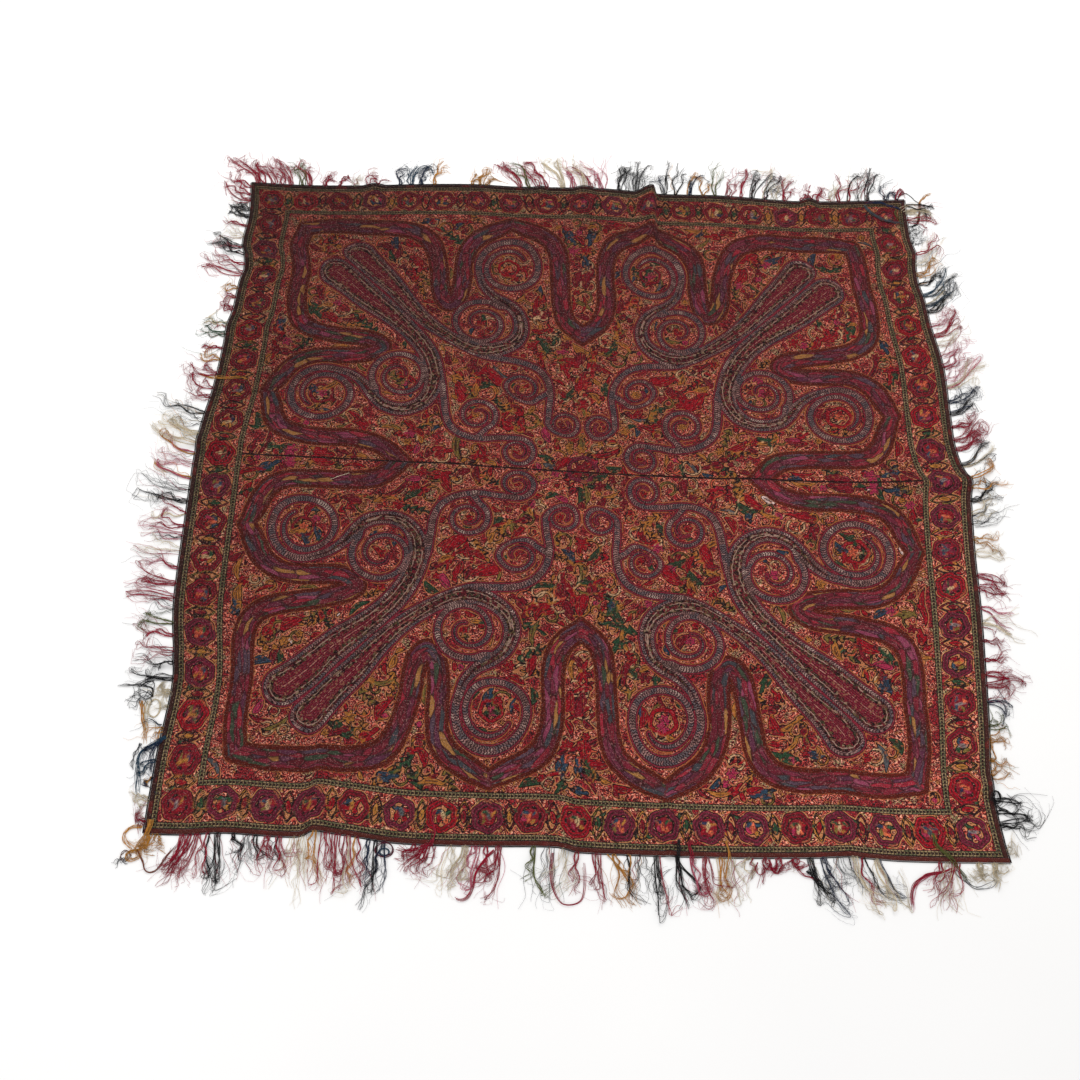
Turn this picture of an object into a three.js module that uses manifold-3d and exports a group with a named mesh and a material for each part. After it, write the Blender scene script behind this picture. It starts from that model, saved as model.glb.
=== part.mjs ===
// Kashmiri shawl: a square of pieced wool, woven and embroidered, lying spread on a floor.
// Millimetres, +Z up, +Y to the north edge of the cloth, which lies farthest away.
//
// Every piece is cut in flat cloth coordinates, s to the east and t to the north from the middle
// of the square. One function, surface(), carries a flat point to its place on the floor, with
// the drawn-in edges and the raised folds, so neighbouring pieces keep one seam gap all along.
import * as THREE from "three";
import { mergeVertices } from "three/addons/utils/BufferGeometryUtils.js";
import Module from "manifold-3d";

// Driving dimensions.
const side = 1850; // the square over its bound edge
const cloth = 1.6; // woven wool with its embroidery
const seam = 0.3; // gap between neighbouring pieces
const borderWidth = 102; // border band between the guard stripes, both stripes included
const edgingWidth = 10; // dark band bound round the raw edge
const edgingHeight = 2.4;
const stripWidth = 3; // knotted heading that the fringe hangs from
const stripHeight = 2;
const lockWidth = 7; // one lock of fringe at its root
const lockHeight = 2.4;
const rootHeight = 1.2; // a lock leaves the heading between its two faces
const lockTip = 0.25; // width at the tip, as a share of the root
const lockClear = 0.5; // air between the floor and a lock
const lockStep = 29; // length of one straight piece of a lock
const gridCells = 20; // coarse grid cells from edge to edge of the cloth
const foldApart = 9; // grid lines nearer than this are one line
const evenApart = 32; // a coarse line stays this far from the lines of a fold
const narrowFold = 64; // only a fold with flanks under this gets lines of its own
const middle = { x: -16, y: -8 }; // plan shift that centres the fringed outline on the origin

const half = side / 2;
const borderOuter = half - edgingWidth;
const borderInner = borderOuter - borderWidth;
const corner = borderOuter - seam; // outer corner of the border, both ways from the middle

// How far each edge lies outside the true square, by distance along it.
const edgeWaves = {
  north: [
    { at: -925, out: 4 }, { at: -780, out: -2 }, { at: -620, out: 2 }, { at: -450, out: 13 },
    { at: -300, out: 18 }, { at: -180, out: 13 }, { at: 60, out: 15 }, { at: 150, out: 8 },
    { at: 230, out: 0 }, { at: 400, out: 0 }, { at: 600, out: -13 }, { at: 710, out: -11 },
    { at: 925, out: 4 },
  ],
  south: [
    { at: -925, out: -3 }, { at: -840, out: -3 }, { at: -760, out: -9 }, { at: -600, out: -4 },
    { at: -560, out: -16 }, { at: -500, out: -11 }, { at: -380, out: 4 }, { at: -200, out: 6 },
    { at: -40, out: 4 }, { at: 0, out: 14 }, { at: 300, out: 18 }, { at: 500, out: 14 },
    { at: 580, out: 10 }, { at: 700, out: 16 }, { at: 925, out: 15 },
  ],
  east: [
    { at: -925, out: 9 }, { at: -885, out: 2 }, { at: -770, out: -7 }, { at: -620, out: 8 },
    { at: -475, out: 20 }, { at: -340, out: 30 }, { at: -200, out: 36 }, { at: -60, out: 47 },
    { at: 0, out: 54 }, { at: 50, out: 37 }, { at: 110, out: 28 }, { at: 210, out: 29 },
    { at: 355, out: 30 }, { at: 480, out: 14 }, { at: 565, out: 8 }, { at: 625, out: -2 },
    { at: 690, out: -2 }, { at: 735, out: 1 }, { at: 790, out: -6 }, { at: 925, out: -6 },
  ],
  west: [
    { at: -925, out: 2 }, { at: -760, out: 1 }, { at: -630, out: -7 }, { at: -560, out: -4 },
    { at: -465, out: 14 }, { at: -390, out: 23 }, { at: -200, out: 29 }, { at: 50, out: 32 },
    { at: 200, out: 15 }, { at: 335, out: 8 }, { at: 400, out: 8 }, { at: 450, out: -1 },
    { at: 550, out: -6 }, { at: 605, out: -14 }, { at: 645, out: -9 }, { at: 690, out: 3 },
    { at: 800, out: -2 }, { at: 925, out: 7 },
  ],
};
const edgeReach = 1.5; // how quickly an edge's wave dies away towards the middle

// The seam across the middle isn't quite straight: how far north it lies, by s.
const seamRise = [
  { at: -925, out: 37 }, { at: -350, out: 20 }, { at: 160, out: 0 }, { at: 680, out: -4 },
  { at: 925, out: 7 },
];

// Folds that stand up from the floor. A fold across s runs north and south at one s, and a fold
// across t runs east and west at one t. It goes from start to end, is highest at peak, a share
// of that way, and falls to the floor within before and after on its two flanks.
const folds = [
  { across: "s", at: -580, start: 925, end: 815, before: 36, after: 34, height: 9, peak: 0 },
  { across: "s", at: -112, start: 925, end: 815, before: 30, after: 26, height: 6, peak: 0 },
  { across: "s", at: 8, start: 925, end: 700, before: 34, after: 48, height: 10, peak: 0 },
  { across: "s", at: 203, start: 925, end: 640, before: 54, after: 14, height: 36, peak: 0 },
  { across: "s", at: 648, start: 925, end: 760, before: 32, after: 36, height: 14, peak: 0 },
  { across: "s", at: -566, start: -925, end: -640, before: 18, after: 42, height: 11, peak: 0 },
  { across: "s", at: -18, start: -925, end: -740, before: 14, after: 34, height: 8, peak: 0 },
  { across: "s", at: 203, start: -925, end: -560, before: 16, after: 16, height: 7, peak: 0 },
  { across: "s", at: 590, start: -925, end: -815, before: 34, after: 26, height: 6, peak: 0 },
  { across: "t", at: 625, start: -925, end: -700, before: 34, after: 34, height: 9, peak: 0 },
  { across: "t", at: 30, start: -925, end: -640, before: 30, after: 40, height: 8, peak: 0 },
  { across: "t", at: -545, start: -925, end: -720, before: 40, after: 30, height: 9, peak: 0 },
  { across: "t", at: 720, start: 925, end: 740, before: 34, after: 30, height: 8, peak: 0 },
  { across: "t", at: 0, start: 925, end: 600, before: 34, after: 24, height: 12, peak: 0 },
  { across: "t", at: -765, start: 925, end: 740, before: 30, after: 34, height: 9, peak: 0 },
  { across: "s", at: -300, start: 420, end: -380, before: 120, after: 110, height: 5, peak: 0.4 },
  { across: "s", at: 420, start: 520, end: -240, before: 110, after: 130, height: 6, peak: 0.6 },
];

// Fringe, a row for each run of locks: where it starts and ends along the edge, how many locks,
// their length, how far they lean from straight out towards the higher coordinate, and how much
// they curl by their tips, in degrees.
const fringeRows = {
  north: [
    { from: -920, to: -800, locks: 5, length: 140, lean: -44, curl: -6 },
    { from: -795, to: -745, locks: 2, length: 120, lean: -22, curl: -50 },
    { from: -735, to: -545, locks: 5, length: 62, lean: 8, curl: 120 },
    { from: -530, to: -400, locks: 4, length: 100, lean: 4, curl: 105 },
    { from: -315, to: -255, locks: 3, length: 60, lean: 14, curl: 100 },
    { from: -185, to: -80, locks: 4, length: 125, lean: -44, curl: 20 },
    { from: -60, to: 80, locks: 5, length: 128, lean: -24, curl: -12 },
    { from: 100, to: 190, locks: 4, length: 118, lean: 4, curl: 14 },
    { from: 222, to: 395, locks: 5, length: 122, lean: 8, curl: 50 },
    { from: 405, to: 600, locks: 6, length: 128, lean: 30, curl: 12 },
    { from: 612, to: 690, locks: 3, length: 60, lean: 30, curl: 40 },
    { from: 698, to: 835, locks: 5, length: 126, lean: 22, curl: 14 },
    { from: 850, to: 918, locks: 2, length: 62, lean: 40, curl: 60 },
  ],
  south: [
    { from: -922, to: -890, locks: 2, length: 60, lean: -20, curl: 40 },
    { from: -848, to: -800, locks: 3, length: 128, lean: -24, curl: -6 },
    { from: -795, to: -755, locks: 2, length: 132, lean: 2, curl: 0 },
    { from: -742, to: -620, locks: 5, length: 92, lean: 8, curl: 30 },
    { from: -615, to: -455, locks: 7, length: 138, lean: 2, curl: -2 },
    { from: -448, to: -404, locks: 3, length: 138, lean: -4, curl: -4 },
    { from: -352, to: -296, locks: 3, length: 68, lean: -42, curl: -10 },
    { from: -275, to: -150, locks: 5, length: 118, lean: -10, curl: -4 },
    { from: -100, to: 20, locks: 4, length: 128, lean: -4, curl: 4 },
    { from: 30, to: 190, locks: 5, length: 128, lean: 8, curl: 4 },
    { from: 200, to: 350, locks: 5, length: 122, lean: 10, curl: 6 },
    { from: 360, to: 480, locks: 4, length: 46, lean: 4, curl: 70 },
    { from: 490, to: 655, locks: 6, length: 126, lean: 26, curl: 10 },
    { from: 765, to: 820, locks: 3, length: 118, lean: -24, curl: 10 },
    { from: 835, to: 918, locks: 2, length: 54, lean: 10, curl: 60 },
  ],
  east: [
    { from: -915, to: -870, locks: 1, length: 34, lean: 0, curl: 20 },
    { from: -860, to: -780, locks: 3, length: 82, lean: 10, curl: -95 },
    { from: -765, to: -605, locks: 4, length: 50, lean: 10, curl: 60 },
    { from: -595, to: -410, locks: 5, length: 80, lean: 12, curl: -100 },
    { from: -400, to: -235, locks: 4, length: 98, lean: -36, curl: -10 },
    { from: -215, to: -150, locks: 2, length: 92, lean: 6, curl: 14 },
    { from: -140, to: 60, locks: 6, length: 112, lean: 44, curl: 6 },
    { from: 70, to: 250, locks: 5, length: 124, lean: 46, curl: 6 },
    { from: 260, to: 495, locks: 7, length: 132, lean: 54, curl: 4 },
    { from: 505, to: 730, locks: 7, length: 140, lean: 58, curl: 4 },
    { from: 745, to: 825, locks: 2, length: 58, lean: 60, curl: 10 },
    { from: 838, to: 915, locks: 3, length: 100, lean: 6, curl: -72 },
  ],
  west: [
    { from: -915, to: -840, locks: 2, length: 32, lean: -10, curl: -40 },
    { from: -825, to: -690, locks: 4, length: 52, lean: -46, curl: -30 },
    { from: -670, to: -610, locks: 2, length: 48, lean: 10, curl: 110 },
    { from: -600, to: -520, locks: 3, length: 108, lean: 4, curl: 12 },
    { from: -510, to: -310, locks: 6, length: 128, lean: 22, curl: -38 },
    { from: -290, to: -130, locks: 5, length: 134, lean: 12, curl: 2 },
    { from: -120, to: 135, locks: 8, length: 136, lean: 28, curl: 6 },
    { from: 145, to: 250, locks: 3, length: 80, lean: 24, curl: 90 },
    { from: 262, to: 425, locks: 4, length: 84, lean: 8, curl: 80 },
    { from: 435, to: 550, locks: 3, length: 52, lean: 8, curl: 50 },
    { from: 562, to: 690, locks: 4, length: 130, lean: 30, curl: 8 },
    { from: 700, to: 835, locks: 4, length: 74, lean: 44, curl: -60 },
    { from: 842, to: 918, locks: 3, length: 124, lean: 48, curl: 10 },
  ],
};
const varyLength = 0.28; // how unlike its neighbours a lock is, as a share or in degrees
const varyLean = 7;
const varyCurl = 0.3;
const varyRoot = 0.35; // how far a root strays, as a share of the distance between locks
const waver = 13; // degrees that a lock wavers along its length
const waves = 1.2; // wavers in one lock
const rootLean = 0.4; // share of the lean that a lock has as it leaves the heading
const leanRise = 2; // how fast it gains the rest
const curlRise = 1.5; // power by which the curl gathers towards the tip
const heightLoss = 0.6; // share of its height that a lock loses by its tip
const sink = 1.4; // how fast a lock comes down from a raised edge to the floor

// The four sides: the flat point at a distance along the side and out from the middle.
const sides = {
  north: { grid: "s", flat: (along, out) => [along, out], outward: [0, 1], lengthwise: [1, 0] },
  south: { grid: "s", flat: (along, out) => [along, -out], outward: [0, -1], lengthwise: [1, 0] },
  east: { grid: "t", flat: (along, out) => [out, along], outward: [1, 0], lengthwise: [0, 1] },
  west: { grid: "t", flat: (along, out) => [-out, along], outward: [-1, 0], lengthwise: [0, 1] },
};

const colours = {
  field: { color: 0x6e2a22, roughness: 0.93 },
  border: { color: 0x7d3a2e, roughness: 0.93 },
  edging: { color: 0x2c1512, roughness: 0.95 },
  fringe: { color: 0x8c2a3a, roughness: 0.85 },
};

// A smooth curve through a table's rows, level beyond its ends.
function through(table, at) {
  const last = table.length - 1;
  if (at <= table[0].at) return table[0].out;
  if (at >= table[last].at) return table[last].out;
  const i = table.findIndex((row) => row.at > at) - 1;
  const slope = (j) => {
    const a = table[Math.max(0, j - 1)];
    const b = table[Math.min(last, j + 1)];
    return (b.out - a.out) / (b.at - a.at);
  };
  const width = table[i + 1].at - table[i].at;
  const q = (at - table[i].at) / width;
  const rest = 1 - q;
  const fromStart = rest * rest * ((1 + 2 * q) * table[i].out + q * width * slope(i));
  const fromEnd = q * q * ((1 + 2 * rest) * table[i + 1].out - rest * width * slope(i + 1));
  return fromStart + fromEnd;
}

const ease = (q) => {
  const c = Math.min(1, Math.max(0, q));
  return c * c * (3 - 2 * c);
};

// How high one fold lifts the cloth at a flat point.
function foldHeight(fold, s, t) {
  const [offset, along] = fold.across === "s" ? [s - fold.at, t] : [t - fold.at, s];
  const flank = offset < 0 ? fold.before : fold.after;
  const way = Math.max(0, (along - fold.start) / (fold.end - fold.start));
  if (Math.abs(offset) >= flank || way >= 1) return 0;
  const run = way < fold.peak ? way / fold.peak : (1 - way) / (1 - fold.peak);
  return fold.height * ease(run) * ease(1 - Math.abs(offset) / flank);
}

const lift = (s, t) => folds.reduce((z, fold) => Math.max(z, foldHeight(fold, s, t)), 0);

// The underside of the cloth: flat point to place on the floor.
function surface(s, t) {
  const east = s > 0 ? through(edgeWaves.east, t) : 0;
  const west = s < 0 ? through(edgeWaves.west, t) : 0;
  const north = t > 0 ? through(edgeWaves.north, s) : 0;
  const south = t < 0 ? through(edgeWaves.south, s) : 0;
  const reachS = Math.abs(s / half) ** edgeReach;
  const reachT = Math.abs(t / half) ** edgeReach;
  const rise = through(seamRise, s) * Math.max(0, 1 - (t / half) ** 2);
  return new THREE.Vector3(
    s + (east - west) * reachS - middle.x,
    t + (north - south) * reachT + rise - middle.y,
    lift(s, t),
  );
}

// The cloth's own upward direction at a flat point.
function upward(s, t) {
  const d = 1;
  const overS = surface(s + d, t).sub(surface(s - d, t));
  const overT = surface(s, t + d).sub(surface(s, t - d));
  return overS.cross(overT).normalize();
}

// Grid lines that all pieces share, so that neighbours meet along the same straight stretches:
// the crest and feet of each narrow fold, and even lines where no fold is near. Beyond the field
// there is only the border's outer corner.
function clothLines(across) {
  const narrow = folds.filter((fold) => fold.across === across && fold.before < narrowFold);
  const close = narrow.flatMap(({ at, before, after }) => [at, at - before, at + after]);
  const even = Array.from({ length: gridCells + 1 }, (_, i) => side * (i / gridCells - 0.5));
  const kept = [];
  const keep = (line, apart) => {
    const clear = kept.every((other) => Math.abs(other - line) >= apart);
    if (clear && Math.abs(line) < borderInner - foldApart) kept.push(line);
  };
  close.forEach((line) => keep(line, foldApart));
  even.forEach((line) => keep(line, evenApart));
  return [-corner, ...kept.sort((a, b) => a - b), corner];
}

const lines = { s: clothLines("s"), t: clothLines("t") };

const gridLines = (across, low, high) => [
  low,
  ...lines[across].filter((line) => line > low + foldApart && line < high - foldApart),
  high,
];

// A closed wall over a grid of flat points, with the given thickness above its underside.
function wall(rows, thickness) {
  const under = rows.map((row) => row.map(([s, t]) => surface(s, t)));
  const over = rows.map((row, j) => row.map(([s, t], i) => (
    under[j][i].clone().addScaledVector(upward(s, t), thickness)
  )));
  const positions = [];
  const quad = (a, b, c, d) => {
    for (const corner of [a, b, c, a, c, d]) positions.push(corner.x, corner.y, corner.z);
  };
  const lastRow = rows.length - 1;
  const lastColumn = rows[0].length - 1;
  for (let j = 0; j < lastRow; j += 1) {
    for (let i = 0; i < lastColumn; i += 1) {
      quad(over[j][i], over[j][i + 1], over[j + 1][i + 1], over[j + 1][i]);
      quad(under[j][i], under[j + 1][i], under[j + 1][i + 1], under[j][i + 1]);
    }
    quad(under[j][0], over[j][0], over[j + 1][0], under[j + 1][0]);
    quad(under[j][lastColumn], under[j + 1][lastColumn], over[j + 1][lastColumn], over[j][lastColumn]);
  }
  for (let i = 0; i < lastColumn; i += 1) {
    quad(under[0][i], under[0][i + 1], over[0][i + 1], over[0][i]);
    quad(under[lastRow][i], over[lastRow][i], over[lastRow][i + 1], under[lastRow][i + 1]);
  }
  const geometry = new THREE.BufferGeometry();
  geometry.setAttribute("position", new THREE.Float32BufferAttribute(positions, 3));
  return geometry;
}

// Rows of flat points for a rectangle whose east and west ends may slope by a mitre.
function patch(low, high, bottom, top, mitre = () => 0) {
  const across = gridLines("s", low, high);
  const upwards = gridLines("t", bottom, top);
  const last = across.length - 1;
  return upwards.map((t) => across.map((s, i) => {
    if (i === 0) return [s - mitre(t), t];
    return [i === last ? s + mitre(t) : s, t];
  }));
}

// The same for a side band, mitred at the end that is away from the seam.
function sideBand(low, high, bottom, top, mitreAtTop, mitre) {
  const across = gridLines("s", low, high);
  const upwards = gridLines("t", bottom, top);
  const mitredRow = mitreAtTop ? upwards.length - 1 : 0;
  const sign = mitreAtTop ? 1 : -1;
  return upwards.map((t, j) => across.map((s) => [s, j === mitredRow ? t + sign * mitre(s) : t]));
}

const shawl = new THREE.Group();

function add(name, geometry, colour) {
  const mesh = new THREE.Mesh(geometry, new THREE.MeshStandardMaterial(colour));
  mesh.name = name;
  mesh.material.flatShading = true;
  shawl.add(mesh);
}

// Field: two woven halves joined by the seam across the middle.
function addField() {
  const reach = borderInner - seam;
  add("field_north", wall(patch(-reach, reach, seam / 2, reach), cloth), colours.field);
  add("field_south", wall(patch(-reach, reach, -reach, -seam / 2), cloth), colours.field);
}

// Border: a whole band at the north and south edges and two lengths at each side, mitred at the
// corners and joined at the same seam as the field.
function addBorder() {
  const inner = borderInner;
  const end = inner - seam / 2;
  const slope = (out) => Math.abs(out) - inner;
  const north = patch(-end, end, inner, corner, slope);
  const south = patch(-end, end, -corner, -inner, slope);
  add("border_north", wall(north, cloth), colours.border);
  add("border_south", wall(south, cloth), colours.border);
  const lengths = [
    ["west_upper", -corner, -inner, seam / 2, end, true],
    ["west_lower", -corner, -inner, -end, -seam / 2, false],
    ["east_upper", inner, corner, seam / 2, end, true],
    ["east_lower", inner, corner, -end, -seam / 2, false],
  ];
  for (const [name, low, high, bottom, top, mitreAtTop] of lengths) {
    const rows = sideBand(low, high, bottom, top, mitreAtTop, slope);
    add(`border_${name}`, wall(rows, cloth), colours.border);
  }
}

// Edging: the dark band bound over the raw edge, butted at the corners.
function addEdging() {
  const inner = borderOuter;
  add("edging_north", wall(patch(-half, half, inner, half), edgingHeight), colours.edging);
  add("edging_south", wall(patch(-half, half, -half, -inner), edgingHeight), colours.edging);
  add("edging_east", wall(patch(inner, half, -corner, corner), edgingHeight), colours.edging);
  add("edging_west", wall(patch(-half, -inner, -corner, corner), edgingHeight), colours.edging);
}

// A repeatable number from -0.5 to 0.5 for lock k and one of its properties.
function vary(k, property) {
  const turn = Math.sin(k * 12.9898 + property * 78.233) * 43758.5453;
  return turn - Math.floor(turn) - 0.5;
}

// A closed tube with three sides through rings of three points.
function triangleTube(rings) {
  const positions = [];
  const face = (...corners) => corners.forEach(({ x, y, z }) => positions.push(x, y, z));
  for (let j = 0; j + 1 < rings.length; j += 1) {
    for (let i = 0; i < 3; i += 1) {
      const next = (i + 1) % 3;
      face(rings[j][i], rings[j][next], rings[j + 1][next]);
      face(rings[j][i], rings[j + 1][next], rings[j + 1][i]);
    }
  }
  const last = rings[rings.length - 1];
  face(rings[0][0], rings[0][2], rings[0][1]);
  face(last[0], last[1], last[2]);
  const geometry = new THREE.BufferGeometry();
  geometry.setAttribute("position", new THREE.Float32BufferAttribute(positions, 3));
  return geometry;
}

// Where a lock leaves the heading, which is straight from one grid line to the next.
function rootPoint(place, stations, along) {
  const next = stations.findIndex((station) => station > along);
  const [from, to] = [stations[next - 1], stations[next]];
  const [start, end] = [from, to].map((station) => (
    surface(...place.flat(station, half + seam + stripWidth / 2))
  ));
  return start.lerp(end, (along - from) / (to - from));
}

// One lock: it leaves the heading straight out, turns to its lean, curls towards its tip and
// sinks to just above the floor.
function lockGeometry(place, root, row, k) {
  const length = row.length * (1 + varyLength * vary(k, 1));
  const lean = row.lean + varyLean * vary(k, 2);
  const curl = row.curl * (1 + varyCurl * vary(k, 3));
  const phase = vary(k, 4);
  const steps = Math.max(3, Math.round(length / lockStep));
  const [outX, outY] = place.outward;
  const [sideX, sideY] = place.lengthwise;
  const point = { along: 0, out: 0 };
  const rings = [];
  for (let j = 0; j <= steps; j += 1) {
    const q = j / steps;
    const wave = waver * Math.sin(2 * Math.PI * (waves * q + phase));
    const degrees = lean * Math.min(1, rootLean + leanRise * q) + curl * q ** curlRise + wave * q;
    const angle = THREE.MathUtils.degToRad(degrees);
    const [forward, sideways] = [Math.cos(angle), Math.sin(angle)];
    const width = (lockWidth / 2) * (1 - (1 - lockTip) * q * q);
    const height = j === 0 ? rootHeight : lockHeight * (1 - heightLoss * q);
    const x = root.x + outX * point.out + sideX * point.along;
    const y = root.y + outY * point.out + sideY * point.along;
    const floor = root.z * (1 - ease(sink * q)) + lockClear;
    const acrossX = (sideX * forward - outX * sideways) * width;
    const acrossY = (sideY * forward - outY * sideways) * width;
    rings.push([
      new THREE.Vector3(x - acrossX, y - acrossY, floor),
      new THREE.Vector3(x + acrossX, y + acrossY, floor),
      new THREE.Vector3(x, y, floor + height),
    ]);
    point.out += (length / steps) * forward;
    point.along += (length / steps) * sideways;
  }
  const turned = outX * sideY - outY * sideX > 0;
  return triangleTube(turned ? rings : rings.map(([a, b, top]) => [b, a, top]));
}

const manifold = await Module();
manifold.setup();

function solidOf(geometry) {
  const merged = mergeVertices(geometry, 1e-4);
  return new manifold.Manifold(new manifold.Mesh({
    numProp: 3,
    vertProperties: new Float32Array(merged.attributes.position.array),
    triVerts: new Uint32Array(merged.index.array),
  }));
}

function geometryOf(solid) {
  const mesh = solid.getMesh();
  const geometry = new THREE.BufferGeometry();
  geometry.setAttribute("position", new THREE.BufferAttribute(mesh.vertProperties, 3));
  geometry.setIndex(new THREE.BufferAttribute(mesh.triVerts, 1));
  return geometry;
}

// Fringe: on each side a narrow knotted heading with its locks fused to it by their roots.
function addFringe() {
  let k = 0;
  for (const [name, place] of Object.entries(sides)) {
    const inner = half + seam;
    const outer = inner + stripWidth;
    const stations = gridLines(place.grid, -half, half);
    const rows = [inner, outer].map((out) => stations.map((along) => place.flat(along, out)));
    const [outX, outY] = place.outward;
    const turned = outX * place.lengthwise[1] - outY * place.lengthwise[0] > 0;
    let solid = solidOf(wall(turned ? rows.reverse() : rows, stripHeight));
    for (const row of fringeRows[name]) {
      const pitch = (row.to - row.from) / row.locks;
      for (let i = 0; i < row.locks; i += 1) {
        k += 1;
        const along = row.from + pitch * (i + 0.5 + varyRoot * vary(k, 0));
        const root = rootPoint(place, stations, along);
        solid = solid.add(solidOf(lockGeometry(place, root, row, k)));
      }
    }
    add(`fringe_${name}`, geometryOf(solid), colours.fringe);
  }
}

addField();
addBorder();
addEdging();
addFringe();

export default shawl;
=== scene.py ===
import math

import bpy
import numpy as np
from mathutils import Matrix, Vector


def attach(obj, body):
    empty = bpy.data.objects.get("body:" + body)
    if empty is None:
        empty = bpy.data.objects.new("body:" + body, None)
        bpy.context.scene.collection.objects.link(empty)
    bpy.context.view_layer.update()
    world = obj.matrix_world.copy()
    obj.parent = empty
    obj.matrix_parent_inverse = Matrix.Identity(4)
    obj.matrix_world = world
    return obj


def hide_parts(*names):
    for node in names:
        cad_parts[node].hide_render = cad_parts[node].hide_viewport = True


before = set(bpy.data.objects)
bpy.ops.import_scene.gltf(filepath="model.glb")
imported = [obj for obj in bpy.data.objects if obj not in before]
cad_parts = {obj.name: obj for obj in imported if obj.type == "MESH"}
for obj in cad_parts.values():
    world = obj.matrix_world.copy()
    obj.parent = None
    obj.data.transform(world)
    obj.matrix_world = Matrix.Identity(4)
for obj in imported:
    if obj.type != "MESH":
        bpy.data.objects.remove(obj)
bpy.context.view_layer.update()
bpy.ops.object.select_all(action="DESELECT")

# ---- Field ----
# Two lengths of hand-woven wool, joined edge to edge by a seam across the middle and then worked
# all over with coloured wools: two long palms in each quarter, rope-stitched scrolls, a winding
# claret band, and a ground of small coral strokes. All pieces are cut flat and laid by lie().

HALF = 0.925  # middle to bound edge, metres
CLOTH = 0.0016
SEAM = 0.0003
BORDER_IN = 0.813
FIELD_REACH = BORDER_IN - SEAM
MIDDLE = (-0.016, -0.008)
EDGE_REACH = 1.5
CELL = 0.0039  # distance between the points of the worked face

# How far each edge lies outside the true square, by distance along it: at, out.
EDGE_WAVES = {
    "north": [
        (-0.925, 0.004), (-0.78, -0.002), (-0.62, 0.002), (-0.45, 0.013), (-0.3, 0.018),
        (-0.18, 0.013), (0.06, 0.015), (0.15, 0.008), (0.23, 0.0), (0.4, 0.0),
        (0.6, -0.013), (0.71, -0.011), (0.925, 0.004),
    ],
    "south": [
        (-0.925, -0.003), (-0.84, -0.003), (-0.76, -0.009), (-0.6, -0.004), (-0.56, -0.016),
        (-0.5, -0.011), (-0.38, 0.004), (-0.2, 0.006), (-0.04, 0.004), (0.0, 0.014),
        (0.3, 0.018), (0.5, 0.014), (0.58, 0.01), (0.7, 0.016), (0.925, 0.015),
    ],
    "east": [
        (-0.925, 0.009), (-0.885, 0.002), (-0.77, -0.007), (-0.62, 0.008), (-0.475, 0.02),
        (-0.34, 0.03), (-0.2, 0.036), (-0.06, 0.047), (0.0, 0.054), (0.05, 0.037),
        (0.11, 0.028), (0.21, 0.029), (0.355, 0.03), (0.48, 0.014), (0.565, 0.008),
        (0.625, -0.002), (0.69, -0.002), (0.735, 0.001), (0.79, -0.006), (0.925, -0.006),
    ],
    "west": [
        (-0.925, 0.002), (-0.76, 0.001), (-0.63, -0.007), (-0.56, -0.004), (-0.465, 0.014),
        (-0.39, 0.023), (-0.2, 0.029), (0.05, 0.032), (0.2, 0.015), (0.335, 0.008),
        (0.4, 0.008), (0.45, -0.001), (0.55, -0.006), (0.605, -0.014), (0.645, -0.009),
        (0.69, 0.003), (0.8, -0.002), (0.925, 0.007),
    ],
}
SEAM_RISE = [(-0.925, 0.037), (-0.35, 0.02), (0.16, 0.0), (0.68, -0.004), (0.925, 0.007)]

# Raised folds: across which coordinate, at, start, end, flank before, flank after, height, peak.
FOLDS = [
    ("s", -0.58, 0.925, 0.815, 0.036, 0.034, 0.009, 0),
    ("s", -0.112, 0.925, 0.815, 0.03, 0.026, 0.006, 0),
    ("s", 0.008, 0.925, 0.7, 0.034, 0.048, 0.01, 0),
    ("s", 0.203, 0.925, 0.64, 0.054, 0.014, 0.036, 0),
    ("s", 0.648, 0.925, 0.76, 0.032, 0.036, 0.014, 0),
    ("s", -0.566, -0.925, -0.64, 0.018, 0.042, 0.011, 0),
    ("s", -0.018, -0.925, -0.74, 0.014, 0.034, 0.008, 0),
    ("s", 0.203, -0.925, -0.56, 0.016, 0.016, 0.007, 0),
    ("s", 0.59, -0.925, -0.815, 0.034, 0.026, 0.006, 0),
    ("t", 0.625, -0.925, -0.7, 0.034, 0.034, 0.009, 0),
    ("t", 0.03, -0.925, -0.64, 0.03, 0.04, 0.008, 0),
    ("t", -0.545, -0.925, -0.72, 0.04, 0.03, 0.009, 0),
    ("t", 0.72, 0.925, 0.74, 0.034, 0.03, 0.008, 0),
    ("t", 0.0, 0.925, 0.6, 0.034, 0.024, 0.012, 0),
    ("t", -0.765, 0.925, 0.74, 0.03, 0.034, 0.009, 0),
    ("s", -0.3, 0.42, -0.38, 0.12, 0.11, 0.005, 0.4),
    ("s", 0.42, 0.52, -0.24, 0.11, 0.13, 0.006, 0.6),
]
# Soft creases left by storage and handling, too low for the folds' table, in the same columns.
CREASES = [
    ("s", 0.2, 0.66, -0.6, 0.012, 0.009, 0.0022, 0.3),
    ("s", -0.246, 0.8, 0.2, 0.016, 0.012, 0.0016, 0.3),
    ("s", -0.43, -0.3, -0.92, 0.014, 0.02, 0.0018, 0.7),
    ("s", 0.5, 0.9, 0.35, 0.02, 0.014, 0.0017, 0.2),
    ("s", 0.745, -0.45, -0.92, 0.016, 0.012, 0.0016, 0.8),
    ("t", 0.31, -0.92, -0.2, 0.016, 0.012, 0.0018, 0.3),
    ("t", -0.28, 0.92, 0.3, 0.014, 0.018, 0.0019, 0.3),
    ("t", 0.47, 0.92, 0.1, 0.012, 0.016, 0.0016, 0.4),
    ("t", -0.66, -0.3, 0.55, 0.018, 0.014, 0.0016, 0.5),
    ("t", 0.84, -0.5, 0.4, 0.014, 0.018, 0.0014, 0.5),
]


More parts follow.
